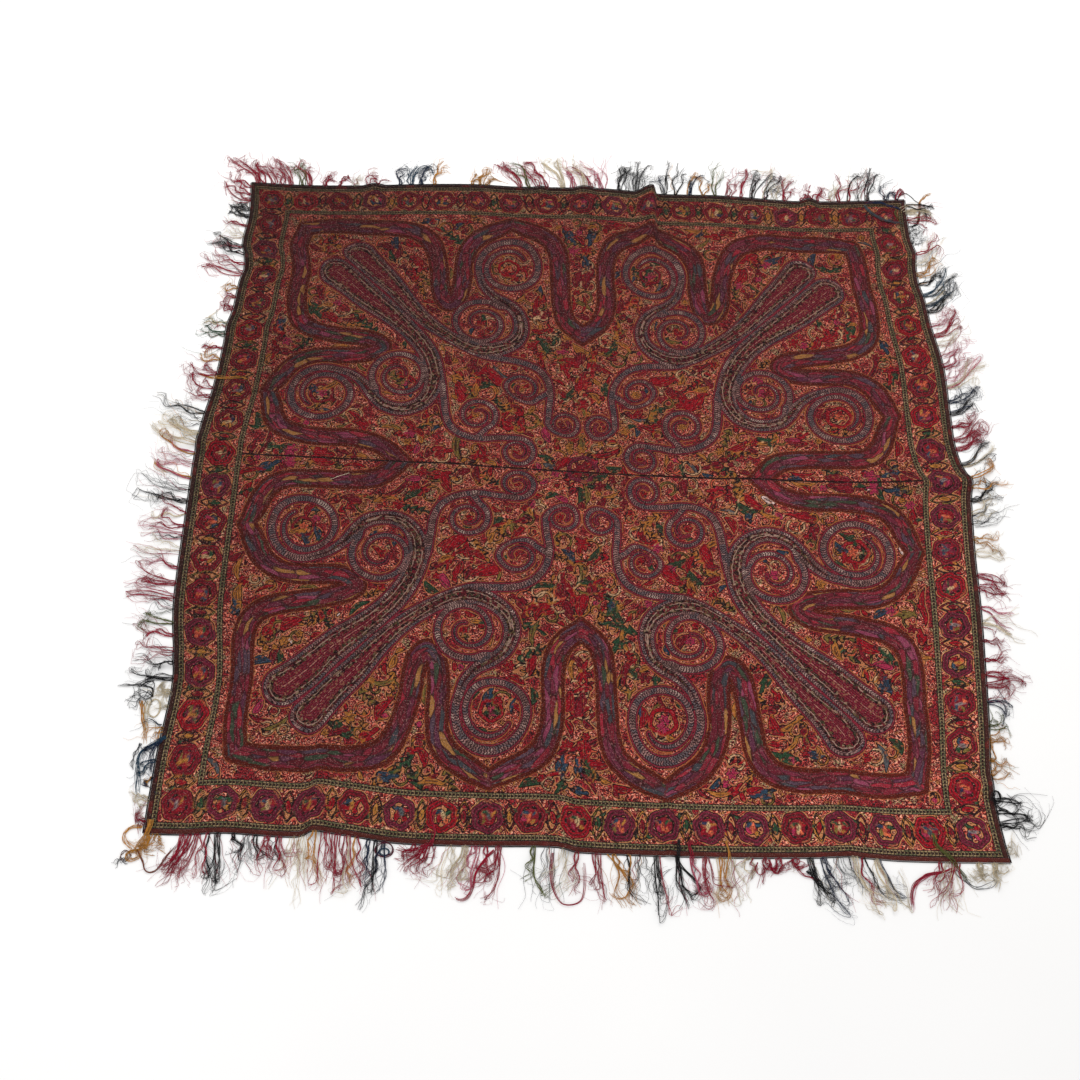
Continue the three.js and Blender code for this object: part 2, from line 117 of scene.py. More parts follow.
def through(table, at):
    """A smooth curve through a table's rows of at and out, level beyond its ends."""
    ats, outs = (np.array(column) for column in zip(*table))
    last = len(ats) - 1
    before = np.maximum(np.arange(last + 1) - 1, 0)
    after = np.minimum(np.arange(last + 1) + 1, last)
    slopes = (outs[after] - outs[before]) / (ats[after] - ats[before])
    at = np.clip(at, ats[0], ats[-1])
    i = np.clip(np.searchsorted(ats, at, side="right") - 1, 0, last - 1)
    width = ats[i + 1] - ats[i]
    q = (at - ats[i]) / width
    rest = 1 - q
    start = rest * rest * ((1 + 2 * q) * outs[i] + q * width * slopes[i])
    return start + q * q * ((1 + 2 * rest) * outs[i + 1] - rest * width * slopes[i + 1])


def ease(q):
    q = np.clip(q, 0, 1)
    return q * q * (3 - 2 * q)


def raised(fold, s, t):
    """How high one fold or crease lifts the cloth."""
    across, at, start, end, before, after, height, peak = fold
    offset, along = (s - at, t) if across == "s" else (t - at, s)
    flank = np.where(offset < 0, before, after)
    way = np.maximum(0, (along - start) / (end - start))
    rising = way / peak if peak else way + 2
    run = np.where(way < peak, rising, (1 - way) / (1 - peak))
    return height * ease(run) * ease(1 - np.abs(offset) / flank)


def lie(s, t):
    """Where a flat point of the cloth's underside lies on the floor."""
    east = np.where(s > 0, through(EDGE_WAVES["east"], t), 0)
    west = np.where(s < 0, through(EDGE_WAVES["west"], t), 0)
    north = np.where(t > 0, through(EDGE_WAVES["north"], s), 0)
    south = np.where(t < 0, through(EDGE_WAVES["south"], s), 0)
    reach_s = np.abs(s / HALF) ** EDGE_REACH
    reach_t = np.abs(t / HALF) ** EDGE_REACH
    rise = through(SEAM_RISE, s) * np.maximum(0, 1 - (t / HALF) ** 2)
    x = s + (east - west) * reach_s - MIDDLE[0]
    y = t + (north - south) * reach_t + rise - MIDDLE[1]
    z = np.zeros_like(x)
    for fold in FOLDS:
        z = np.maximum(z, raised(fold, s, t))
    for crease in CREASES:
        z = z + raised(crease, s, t)
    return np.stack([x, y, z], -1)


def upward(s, t):
    """The cloth's own upward direction."""
    d = 0.001
    over_s = lie(s + d, t) - lie(s - d, t)
    over_t = lie(s, t + d) - lie(s, t - d)
    up = np.cross(over_s, over_t)
    return up / np.linalg.norm(up, axis=-1, keepdims=True)


def cut(name, s, t, thick, under_columns=None, under_rows=None):
    """A closed, thin piece of cloth over a grid of flat points. The underside may have fewer."""
    rows, columns = s.shape
    i_under = np.arange(columns) if under_columns is None else np.array(under_columns)
    j_under = np.arange(rows) if under_rows is None else np.array(under_rows)
    picked = np.ix_(j_under, i_under)
    top = lie(s, t) + upward(s, t) * np.broadcast_to(thick, s.shape)[..., None]
    bottom = lie(s[picked], t[picked])
    points = np.concatenate([top.reshape(-1, 3), bottom.reshape(-1, 3)])

    def over(j, i):
        return j * columns + i

    def under(j, i):
        return rows * columns + j * len(i_under) + i

    j, i = (grid.ravel() for grid in np.mgrid[0:rows - 1, 0:columns - 1])
    faces = np.stack([over(j, i), over(j, i + 1), over(j + 1, i + 1), over(j + 1, i)], 1).tolist()
    last_j, last_i = len(j_under) - 1, len(i_under) - 1
    j, i = (grid.ravel() for grid in np.mgrid[0:last_j, 0:last_i])
    faces += np.stack([under(j, i), under(j + 1, i), under(j + 1, i + 1), under(j, i + 1)], 1).tolist()
    for i in range(last_i):
        edge = range(i_under[i], i_under[i + 1] + 1)
        faces.append([under(0, i), under(0, i + 1), *(over(0, k) for k in reversed(edge))])
        faces.append([under(last_j, i + 1), under(last_j, i), *(over(rows - 1, k) for k in edge)])
    for j in range(last_j):
        edge = range(j_under[j], j_under[j + 1] + 1)
        faces.append([under(j + 1, 0), under(j, 0), *(over(k, 0) for k in edge)])
        faces.append([under(j, last_i), under(j + 1, last_i),
                      *(over(k, columns - 1) for k in reversed(edge))])
    mesh = bpy.data.meshes.new(name)
    mesh.from_pydata(points.tolist(), [], faces)
    mesh.shade_smooth()
    piece = bpy.data.objects.new(name, mesh)
    bpy.context.collection.objects.link(piece)
    flat_s = np.concatenate([s.ravel(), s[picked].ravel()])
    flat_t = np.concatenate([t.ravel(), t[picked].ravel()])
    note(piece, "flat", np.stack([flat_s, flat_t, 0 * flat_s], 1))
    return piece, flat_s, flat_t


def note(piece, name, values):
    """Keeps a vector, or a colour of four numbers, at each point of a piece for its material."""
    kind = "FLOAT_VECTOR" if values.shape[1] == 3 else "FLOAT_COLOR"
    attribute = piece.data.attributes.new(name, kind, "POINT")
    key = "vector" if kind == "FLOAT_VECTOR" else "color"
    attribute.data.foreach_set(key, values.astype(np.float32).ravel())


def on_both_faces(rows, columns, *parts):
    """Values over a grid's face, then over the fewer points of its underside, as columns."""
    picked = np.ix_(rows, columns)
    return np.stack([np.concatenate([part.ravel(), part[picked].ravel()]) for part in parts], 1)


def every(step, count, also=()):
    """Each so many numbers from 0 to count, its end, and any others that are asked for."""
    return [k for k in range(count + 1) if k % step == 0 or k == count or k in also]


def finish_piece(piece, material, node):
    piece.data.materials.append(material)
    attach(piece, "root")
    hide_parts(node)


# The embroidery is drawn for one eighth of the field, in metres from the middle: the main way
# towards the nearest side and the minor way along it. The other eighths mirror it, by hand and
# so not quite exactly.
def drawn(points, spacing=0.003):
    """A smooth line through points, with a point every few millimetres."""
    points = np.array(points, float)
    run = np.concatenate([[0], np.cumsum(np.linalg.norm(np.diff(points, axis=0), axis=1))])
    fine = np.linspace(0, run[-1], int(run[-1] / spacing) + 2)
    return np.stack([through(list(zip(run, points[:, k])), fine) for k in (0, 1)], 1)


def coiled(centre, radius, start, turns, tip):
    """A spiral that winds inwards from a start angle in degrees, clockwise if turns is negative."""
    q = np.linspace(0, 1, int(abs(turns) * 40))
    angle = np.radians(start + 360 * turns * q)
    r = tip + (radius - tip) * (1 - q ** 1.6)
    return np.stack([centre[0] + r * np.cos(angle), centre[1] + r * np.sin(angle)], 1)


# Every scroll is a ribbon with rope stitch along its edges. The first starts as the body of a
# palm, sweeps round the second coil and ends in the outer coil; the second ribbon leaves the
# palm's neck towards the middle; the last two branch off to the smaller coils.
RIBBONS = [
    # points, then shares of the way and half widths at them
    ([(0.668, 0.5975), (0.6205, 0.559), (0.573, 0.516), (0.4815, 0.4377), (0.4324, 0.3879),
      (0.3974, 0.338), (0.3775, 0.2913), (0.372, 0.25), (0.382, 0.207), (0.408, 0.172),
      (0.448, 0.157), (0.495, 0.167), (0.527, 0.196), (0.552, 0.232), (0.585, 0.261),
      *coiled((0.648, 0.195), 0.083, 110, -1.45, 0.046)],
     (0, 0.05, 0.11, 0.2, 0.26, 0.34, 0.4, 0.46, 0.52, 0.58, 0.9, 1),
     (0.049, 0.044, 0.038, 0.03, 0.028, 0.026, 0.022, 0.019, 0.015, 0.0125, 0.0105, 0.006)),
    ([(0.39, 0.325), (0.366, 0.29), (0.354, 0.25), (0.348, 0.2), (0.341, 0.15), (0.324, 0.112),
      (0.291, 0.088), (0.245, 0.079), (0.198, 0.084), *coiled((0.155, 0.047), 0.039, 85, 1.6, 0.012)],
     (0, 0.2, 0.6, 0.8, 1), (0.0135, 0.012, 0.0105, 0.0075, 0.0045)),
    ([(0.515, 0.178), *coiled((0.46, 0.258), 0.072, -35, 1.55, 0.016)],
     (0, 0.3, 0.7, 1), (0.0115, 0.0105, 0.009, 0.005)),
    ([(0.25, 0.088), *coiled((0.26, 0.148), 0.046, 235, -1.45, 0.014)],
     (0, 0.3, 0.7, 1), (0.0105, 0.009, 0.0075, 0.0045)),
]
SERPENT = [
    [(0.757, 0.757), (0.766, 0.69), (0.767, 0.6), (0.764, 0.51), (0.747, 0.44), (0.708, 0.404),
     (0.65, 0.388), (0.585, 0.38), (0.54, 0.368), (0.515, 0.345), (0.54, 0.326), (0.59, 0.32),
     (0.65, 0.318), (0.702, 0.308), (0.737, 0.283), (0.762, 0.242), (0.786, 0.196)],
    [(0.786, 0.196), (0.767, 0.152), (0.75, 0.112), (0.725, 0.082), (0.685, 0.066), (0.63, 0.062),
     (0.54, 0.06), (0.478, 0.042), (0.428, -0.01)],
]
LOBE_TIP = (0.786, 0.196)
FAR = 0.06


def nearest(lines, x, y):
    """For each point: signed distance from the nearest of some lines, way along it, and share."""
    places, tangents, ways, shares = [], [], [], []
    start = 0.0
    for line in lines:
        steps = np.linalg.norm(np.diff(line, axis=0), axis=1)
        way = np.concatenate([[0], np.cumsum(steps)])
        tangent = np.gradient(line, axis=0)
        tangents.append(tangent / np.linalg.norm(tangent, axis=1, keepdims=True))
        places.append(line)
        ways.append(way + start)
        shares.append(way / way[-1])
        start += way[-1] + 1
    places, tangents, ways, shares = (np.concatenate(part) for part in (places, tangents, ways, shares))
    offset, way, share = (np.empty(len(x)) for _ in range(3))
    for low in range(0, len(x), 4000):
        part = slice(low, low + 4000)
        px, py = x[part], y[part]
        apart = (px[:, None] - places[None, :, 0]) ** 2 + (py[:, None] - places[None, :, 1]) ** 2
        k = np.argmin(apart, axis=1)
        rel = np.stack([px, py], 1) - places[k]
        ahead = (rel * tangents[k]).sum(1)
        side = tangents[k, 0] * rel[:, 1] - tangents[k, 1] * rel[:, 0]
        beyond = ahead - np.clip(ahead, -0.002, 0.002)
        offset[part] = np.where(side < 0, -1, 1) * np.hypot(side, beyond)
        way[part] = ways[k] + ahead
        share[part] = shares[k]
    return offset, way, share


ribbon_lines = [drawn(points) for points, _, _ in RIBBONS]
serpent_lines = [drawn(line) for line in SERPENT]


WANDER, TREMBLE = 0.004, 0.0015  # how far lines drawn by hand stray, slowly and quickly
END_SHIFT = 0.02  # how much tighter the two ends are drawn than the two sides


def eighth(s, t):
    """A flat point's place in the drawn eighth: main way, minor way, and whether it faces an end."""
    s = s - 0.01 * (1 - ease(np.abs(s) / 0.3))
    slow_s = WANDER * np.sin(8.3 * s + 1.1) * np.sin(9.7 * t + 0.4)
    slow_t = WANDER * np.sin(10.1 * s - 0.7) * np.sin(7.9 * t + 1.9)
    wander_s = slow_s + TREMBLE * np.sin(33 * t + 2 * s)
    wander_t = slow_t + TREMBLE * np.sin(37 * s - 3 * t)
    s = np.abs(s + wander_s * ease(np.abs(s) / 0.08))
    t = np.abs(t + wander_t * ease(np.abs(t) / 0.08))
    main, minor, end = np.maximum(s, t), np.minimum(s, t), t > s
    tighter = ease((main - minor) / 0.08) * ease(main / 0.1) * (1 - ease((main - 0.6) / 0.2))
    return np.where(end, main + END_SHIFT * tighter, main), minor, end


def scheme(s, t):
    """What the field's embroidery is at each flat point."""
    main, minor, end = eighth(s, t)
    depth, rope_way, aside = np.full(s.shape, -FAR), np.zeros(s.shape), np.zeros(s.shape)
    for line, (_, marks, halves) in zip(ribbon_lines, RIBBONS):
        offset, way, share = nearest([line], main, minor)
        inside = np.interp(share, marks, halves) - np.abs(offset)
        deeper = inside > depth
        depth = np.where(deeper, inside, depth)
        rope_way = np.where(deeper, way, rope_way)
        aside = np.where(deeper, offset, aside)
    band, band_way, _ = nearest(serpent_lines, main, minor)
    tip = np.hypot(main - LOBE_TIP[0], minor - LOBE_TIP[1])
    band = band * (1 + 0.4 * np.exp(-(tip / 0.03) ** 2))
    band_way = band_way + 3 * end + 7 * (s > 0) + 13 * (t > 0)
    return {"depth": depth, "rope_way": rope_way, "aside": aside, "band": band, "band_way": band_way}


# Small motifs that fill the ground: leaves, buds, flowers, sprigs and birds. Their dyes are given
# as red, green and blue from 0 to 255.
DYES = {
    "crimson": (132, 18, 32), "claret": (108, 22, 36), "green": (36, 68, 48),
    "teal": (36, 62, 82), "gold": (156, 108, 50), "pink": (150, 44, 78),
    "olive": (106, 96, 48), "cream": (186, 162, 126), "navy": (36, 44, 72),
    "purple": (96, 30, 50), "black": (26, 20, 22), "coral": (186, 92, 66),
    "grey": (118, 110, 116), "slate": (72, 82, 88), "white": (200, 192, 190),
}


def dyed(name):
    """A dye's colour in the linear numbers that materials use."""
    parts = (c / 255 for c in DYES[name])
    return tuple(c / 12.92 if c < 0.04045 else ((c + 0.055) / 1.055) ** 2.4 for c in parts)


def leaf(u, v, size):
    v = v - 0.35 * u * u / size
    return np.maximum(np.abs(v) - 0.36 * size * (1 - (u / size) ** 2), np.abs(u) - size) * 0.9


def long_leaf(u, v, size):
    v = v - 0.3 * u * np.sin(1.3 * u / size)
    return np.maximum(np.abs(v) - 0.17 * size * (1 - (u / size) ** 2), np.abs(u) - size) * 0.95


def almond(u, v, size):
    return np.maximum(np.abs(v) - 0.38 * size * (1 - (u / size) ** 2), np.abs(u) - size) * 0.9


def bud(u, v, size):
    q = np.clip((u + size) / (2 * size), 0, 1)
    v = v - 0.45 * size * (1 - q) ** 2
    return np.maximum(np.abs(v) - 1.05 * size * np.sqrt(q) * (1 - q) ** 0.8 - 0.03 * size, np.abs(u) - size)


def flower(u, v, size):
    petals = 0.76 + 0.24 * np.cos(6 * np.arctan2(v, u))
    return (np.hypot(u, v) - size * petals) * 0.8


def sprig(u, v, size):
    """A bent stem with small leaves on both sides."""
    v = v - 0.25 * size * np.sin(1.6 * u / size)
    stem = np.maximum(np.abs(v) - 0.035 * size, np.abs(u) - size)
    parts = [stem, leaf(u - 0.95 * size, v, 0.3 * size)]
    for share in (-0.6, -0.1, 0.4):
        for side in (-1, 1):
            along, across = u - share * size, side * v
            tilted = 0.8 * across - 0.6 * along - 0.2 * size
            parts.append(leaf(0.8 * along + 0.6 * across, tilted, 0.27 * size))
    return np.minimum.reduce(parts)


def bird(u, v, size):
    body = np.hypot(u / 1.7, v + 0.1 * size) - 0.34 * size
    head = np.hypot(u - 0.62 * size, v - 0.36 * size) - 0.17 * size
    beak = np.maximum(np.abs(v - 0.36 * size) - 0.05 * size, np.abs(u - 0.84 * size) - 0.16 * size)
    tail = leaf(u + 0.85 * size, v - 0.12 * size - 0.3 * u, 0.55 * size)
    wing = leaf(u + 0.1 * size, v - 0.28 * size, 0.46 * size)
    return np.minimum.reduce([body, head, beak, tail, wing])


def disc(u, v, size):
    """A round patch, shallow so that smaller motifs lie on it."""
    return np.maximum(np.hypot(u, v) - size, -0.0012)


def wreath(u, v, size):
    scallop = 1 + 0.06 * np.cos(6 * np.arctan2(v, u))
    return np.abs(np.hypot(u, v) - size * scallop) - 0.22 * size


def leaf_line(u, v, size):
    return np.abs(almond(u, v, size)) - 0.0014


def tendril(u, v, size):
    """A thin hooked line."""
    hook = np.abs(np.hypot(u, v) - size * (0.8 + 0.2 * np.sin(np.arctan2(v, u)))) - 0.0022
    return np.maximum(hook, -0.4 * size - v)


def ring(u, v, size):
    scallop = 1 + 0.05 * np.cos(5 * np.arctan2(v, u))
    return np.abs(np.hypot(u, v) - size * scallop) - 0.16 * size


MOTIF_KINDS = [
    # shape, sizes in metres, dyes in the shares they are used
    (leaf, (0.013, 0.03), "crimson crimson green gold teal claret crimson claret"),
    (long_leaf, (0.022, 0.05), "crimson green gold olive claret crimson claret slate"),
    (bud, (0.012, 0.028), "crimson claret pink crimson gold claret"),
    (flower, (0.009, 0.017), "crimson pink gold claret crimson"),
    (sprig, (0.024, 0.042), "olive gold green crimson green gold"),
    (bird, (0.018, 0.03), "crimson claret crimson teal green"),
]
TENDRILS = [(tendril, (0.013, 0.03), "cream olive gold cream coral olive gold")]


STITCH_RISE = 0.0002  # how far the band and the motifs stand up
ROPE_RISE = 0.0004


class Motifs:
    """Motifs laid on one piece's grid: the distance to the nearest, its own axes, and its dye."""

    def __init__(self, s, t):
        self.s, self.t = s, t
        self.apart = np.full(s.shape, 0.02)
        self.u, self.v = np.zeros(s.shape), np.zeros(s.shape)
        self.dye = np.zeros((*s.shape, 4))

    def lay(self, shape, s, t, size, turn, dye):
        near = (np.abs(self.s - s) < 1.6 * size) & (np.abs(self.t - t) < 1.6 * size)
        ds, dt = self.s[near] - s, self.t[near] - t
        c, n = math.cos(turn), math.sin(turn)
        u, v = ds * c + dt * n, dt * c - ds * n
        apart = shape(u, v, size)
        nearer = apart < self.apart[near]
        for kept, new in ((self.apart, apart), (self.u, u), (self.v, v)):
            kept[near] = np.where(nearer, new, kept[near])
        colour = np.array([*dyed(dye), 1.0])
        self.dye[near] = np.where(nearer[:, None], colour, self.dye[near])

    def rise(self):
        return STITCH_RISE * ease(-self.apart / 0.003)

    def note_on(self, piece, under):
        note(piece, "motif", on_both_faces(*under, self.apart, self.u, self.v))
        note(piece, "motif_dye", on_both_faces(*under, *np.moveaxis(self.dye, -1, 0)))


chance = np.random.RandomState(7)
BAND_ROOM = 0.029  # from the middle of the winding band to the nearest motif
MOTIFS_APART = 0.62  # how near two motifs may lie, as a share of their sizes


def filling(kinds, count, tries):
    """Places for the small motifs, clear of the scrolls, band, seam and each other."""
    tried_s = chance.uniform(-0.8, 0.8, tries)
    tried_t = chance.uniform(-0.8, 0.8, tries)
    ground = scheme(tried_s, tried_t)
    room = np.minimum.reduce([
        -ground["depth"] - 0.002, np.abs(ground["band"]) - BAND_ROOM, np.abs(tried_t),
        BORDER_IN - 0.004 - np.maximum(np.abs(tried_s), np.abs(tried_t)),
    ])
    found, places, sizes = [], np.zeros((count, 2)), np.zeros(count)
    for s, t, space in zip(tried_s, tried_t, room):
        shape, (low, high), dyes = kinds[chance.randint(len(kinds))]
        size = low + (high - low) * chance.uniform() ** 1.4
        slim = 0.36 if shape in (long_leaf, leaf, sprig) else 0.7
        if space < size * slim:
            continue
        n = len(found)
        apart = np.hypot(places[:n, 0] - s, places[:n, 1] - t)
        if (apart < MOTIFS_APART * (size + sizes[:n])).any():
            continue
        places[n], sizes[n] = (s, t), size
        turn = chance.uniform(0, 2 * math.pi)
        found.append((shape, s, t, size, turn, chance.choice(dyes.split())))
        if len(found) == count:
            break
    return found


# Larger motifs with places of their own in the drawn eighth, inside coils, lobes and corners.
COIL_MOTIFS = [
    # shape, main, minor, size, turn in degrees, dyes
    (ring, 0.65, 0.194, 0.027, 0, "crimson claret"), (flower, 0.65, 0.194, 0.015, 20, "coral pink"),
    (leaf, 0.694, 0.214, 0.017, 70, "green gold"), (leaf, 0.61, 0.23, 0.018, 40, "green claret"),
    (long_leaf, 0.635, 0.146, 0.02, 10, "teal crimson"), (flower, 0.459, 0.26, 0.014, 0, "crimson pink"),
    (leaf, 0.43, 0.215, 0.022, 60, "green teal"), (leaf, 0.48, 0.204, 0.016, 10, "teal gold"),
    (flower, 0.152, 0.043, 0.013, 0, "crimson claret"), (flower, 0.26, 0.148, 0.012, 30, "crimson gold"),
    (leaf, 0.27, 0.172, 0.014, 20, "teal green"),
    (bud, 0.62, 0.012, 0.03, 180, "crimson claret"), (long_leaf, 0.54, 0.014, 0.032, 0, "gold crimson"),
    (flower, 0.7, 0.018, 0.02, 0, "crimson pink"), (bird, 0.752, 0.03, 0.026, 20, "teal green"),
    (leaf, 0.66, 0.445, 0.034, 30, "crimson crimson"), (bird, 0.71, 0.47, 0.03, 60, "crimson green"),
    (sprig, 0.6, 0.42, 0.03, 20, "gold olive"), (leaf, 0.7, 0.53, 0.026, 70, "claret teal"),
    (bud, 0.3, 0.22, 0.034, 60, "crimson crimson"), (leaf, 0.262, 0.24, 0.026, 110, "green crimson"),
    (leaf, 0.315, 0.262, 0.022, 20, "gold claret"), (leaf, 0.2, 0.15, 0.024, 40, "crimson green"),
    (sprig, 0.185, 0.18, 0.022, 60, "gold olive"), (bird, 0.34, 0.035, 0.03, 5, "crimson claret"),
    (leaf, 0.4, 0.09, 0.028, 30, "crimson green"), (long_leaf, 0.46, 0.105, 0.032, 12, "gold olive"),
    (bud, 0.54, 0.11, 0.024, 0, "crimson claret"), (long_leaf, 0.79, 0.32, 0.034, 90, "crimson gold"),
    (bird, 0.788, 0.42, 0.024, 90, "crimson teal"), (leaf, 0.79, 0.1, 0.026, 80, "green crimson"),
    (long_leaf, 0.62, 0.352, 0.026, 0, "gold olive"),
]
ROSETTE = [
    (flower, 0.01, 0.008, 0.026, 10, "claret"), (ring, 0.01, 0.008, 0.034, 0, "purple"),
    (flower, 0.01, 0.008, 0.012, 40, "slate"), (leaf, 0.01, -0.065, 0.024, 90, "green"),
    (leaf, 0.01, 0.082, 0.024, 90, "olive"), (leaf, -0.068, 0.012, 0.022, 0, "slate"),
    (leaf, 0.088, 0.012, 0.022, 0, "green"), (flower, 0.012, -0.2, 0.02, 0, "crimson"),
    (leaf, -0.018, -0.23, 0.024, 130, "teal"), (leaf, 0.042, -0.23, 0.024, 50, "green"),
    (long_leaf, 0.012, -0.28, 0.034, 90, "olive"), (flower, 0.01, 0.2, 0.022, 0, "crimson"),
    (leaf, -0.024, 0.225, 0.024, 50, "green"), (leaf, 0.044, 0.225, 0.024, 130, "gold"),
    (bud, 0.01, 0.27, 0.03, 90, "crimson"), (bud, 0.006, 0.345, 0.03, 90, "claret"),
    (bud, 0.006, -0.36, 0.03, -90, "crimson"), (sprig, -0.06, -0.33, 0.036, 70, "gold"),
    (sprig, 0.07, -0.33, 0.036, 110, "green"), (sprig, -0.06, 0.35, 0.036, 110, "olive"),
    # A few bleached patches, on the right-hand side.
    (almond, 0.452, -0.058, 0.02, -30, "white"), (almond, 0.762, -0.193, 0.02, -55, "white"),
    (almond, 0.69, -0.018, 0.009, 40, "white"), (almond, 0.465, -0.012, 0.009, 80, "white"),
    (almond, -0.658, -0.49, 0.009, 100, "white"), (almond, -0.55, -0.425, 0.007, 60, "white"),
]


def set_motifs():
    """The coils' motifs in all eight eighths, and the rosette with its sprays."""
    placed = []
    for sign_s in (-1, 1):
        for sign_t in (-1, 1):
            for end in (False, True):
                for shape, main, minor, size, degrees, dyes in COIL_MOTIFS:
                    turn = math.radians(degrees)
                    if end:
                        s, t, turn = minor, main - END_SHIFT * (main < 0.7), math.pi / 2 - turn
                    else:
                        s, t = main, minor
                    turn = math.atan2(sign_t * math.sin(turn), sign_s * math.cos(turn))
                    dye = dyes.split()[chance.randint(2)]
                    s = sign_s * s + chance.uniform(-0.003, 0.003)
                    t = sign_t * t + chance.uniform(-0.003, 0.003)
                    placed.append((shape, s, t, size * chance.uniform(0.9, 1.1), turn, dye))
    for shape, s, t, size, degrees, dye in ROSETTE:
        placed.append((shape, s, t, size, math.radians(degrees), dye))
    return placed


fill = filling(MOTIF_KINDS, 1150, 9000) + set_motifs() + filling(TENDRILS, 300, 2400)


class Stitch:
    """A value or colour at each point, on its way through a material; sums add Math nodes."""

    def __init__(self, wool, socket):
        self.wool, self.socket = wool, socket

    def maths(self, operation, *terms, **settings):
        settings = {"operation": operation, **settings}
        return self.wool.node("ShaderNodeMath", settings, dict(enumerate(terms)))

    def __add__(self, other):
        return self.maths("ADD", self, other)

    def __radd__(self, other):
        return self.maths("ADD", other, self)

    def __sub__(self, other):
        return self.maths("SUBTRACT", self, other)

    def __rsub__(self, other):
        return self.maths("SUBTRACT", other, self)

    def __mul__(self, other):
        return self.maths("MULTIPLY", self, other)

    def __rmul__(self, other):
        return self.maths("MULTIPLY", other, self)

    def __abs__(self):
        return self.maths("ABSOLUTE", self)

    def fraction(self):
        return self.maths("FRACT", self)

    def under(self, edge, soft=0.0006):
        """1 where the value is under the edge and 0 above it, turning over softly."""
        return self.maths("ADD", (edge - self) * (1 / soft), 0.5, use_clamp=True)

    def over(self, edge, soft=0.0006):
        return self.maths("ADD", (self - edge) * (1 / soft), 0.5, use_clamp=True)

    def apart(self):
        """The three numbers of a vector."""
        node = self.wool.node("ShaderNodeSeparateXYZ", {}, {0: self}).socket.node
        return [Stitch(self.wool, socket) for socket in node.outputs]

    def shifted(self, by, size):
        """A vector moved by a colour's difference from grey."""
        moved = self.wool.node("ShaderNodeVectorMath", {"operation": "SUBTRACT"}, {0: by, 1: (0.5,) * 3})
        settings = {"operation": "MULTIPLY_ADD"}
        return self.wool.node("ShaderNodeVectorMath", settings, {0: moved, 1: (size,) * 3, 2: self})


STITCH_DEPTH = 0.0007  # how deep the stitches look, for the bump


class Wool:
    """A material in the making."""

    def __init__(self, name, roughness=0.92, sheen=0.03):
        self.material = bpy.data.materials.new(name)
        self.material.use_nodes = True
        self.tree = self.material.node_tree
        self.shader = self.tree.nodes["Principled BSDF"]
        self.shader.inputs["Roughness"].default_value = roughness
        self.shader.inputs["Specular IOR Level"].default_value = 0.06
        self.shader.inputs["Sheen Weight"].default_value = sheen
        self.shader.inputs["Sheen Roughness"].default_value = 0.5

    def node(self, kind, settings, values, out=0):
        made = self.tree.nodes.new(kind)
        for key, value in settings.items():
            if key == "stops":
                self.set_stops(made.color_ramp, value)
            else:
                setattr(made, key, value)
        for key, value in values.items():
            if isinstance(value, Stitch):
                self.tree.links.new(value.socket, made.inputs[key])
            else:
                made.inputs[key].default_value = value
        return Stitch(self, made.outputs[out])

    def set_stops(self, ramp, colours):
        """Gives a ramp equal steps of several colours."""
        ramp.interpolation = "CONSTANT"
        for k, colour in enumerate(colours):
            stop = ramp.elements[k] if k < 2 else ramp.elements.new(k / len(colours))
            stop.position = k / len(colours)
            stop.color = (*colour, 1.0)

    def noted(self, name, kind="Vector"):
        return self.node("ShaderNodeAttribute", {"attribute_name": name}, {}, kind)

    def vector(self, *parts):
        return self.node("ShaderNodeCombineXYZ", {}, dict(enumerate(parts)))

    def noise(self, place, scale, detail=0.0, out="Fac"):
        values = {"Vector": place, "Scale": scale, "Detail": detail}
        return self.node("ShaderNodeTexNoise", {"noise_dimensions": "3D"}, values, out)

    def cells(self, place, scale, out="Color", feature="F1"):
        values = {"Vector": place, "Scale": scale}
        return self.node("ShaderNodeTexVoronoi", {"feature": feature}, values, out)

    def blend(self, share, below, above):
        """The colour above where share is 1 and the colour below where it is 0."""
        below, above = (c if isinstance(c, Stitch) else (*c, 1.0) for c in (below, above))
        settings = {"data_type": "RGBA", "clamp_factor": True}
        return self.node("ShaderNodeMix", settings, {0: share, 6: below, 7: above}, 2)

    def darker(self, colour, share, green=1.0, blue=1.0):
        """A colour times a value, with less green and blue kept where asked."""
        grey = self.node("ShaderNodeCombineColor", {}, {0: share, 1: share * green, 2: share * blue})
        colour = colour if isinstance(colour, Stitch) else (*colour, 1.0)
        settings = {"data_type": "RGBA", "blend_type": "MULTIPLY"}
        return self.node("ShaderNodeMix", settings, {0: 1.0, 6: colour, 7: grey}, 2)

    def steps(self, share, colours):
        """One of several colours, in equal steps of share."""
        return self.node("ShaderNodeValToRGB", {"stops": colours}, {0: share})

    def finished(self, colour, height, depth):
        bump = self.node("ShaderNodeBump", {}, {"Height": height, "Distance": depth, "Strength": 1.0})
        self.tree.links.new(colour.socket, self.shader.inputs["Base Color"])
        self.tree.links.new(bump.socket, self.shader.inputs["Normal"])
        return self.material


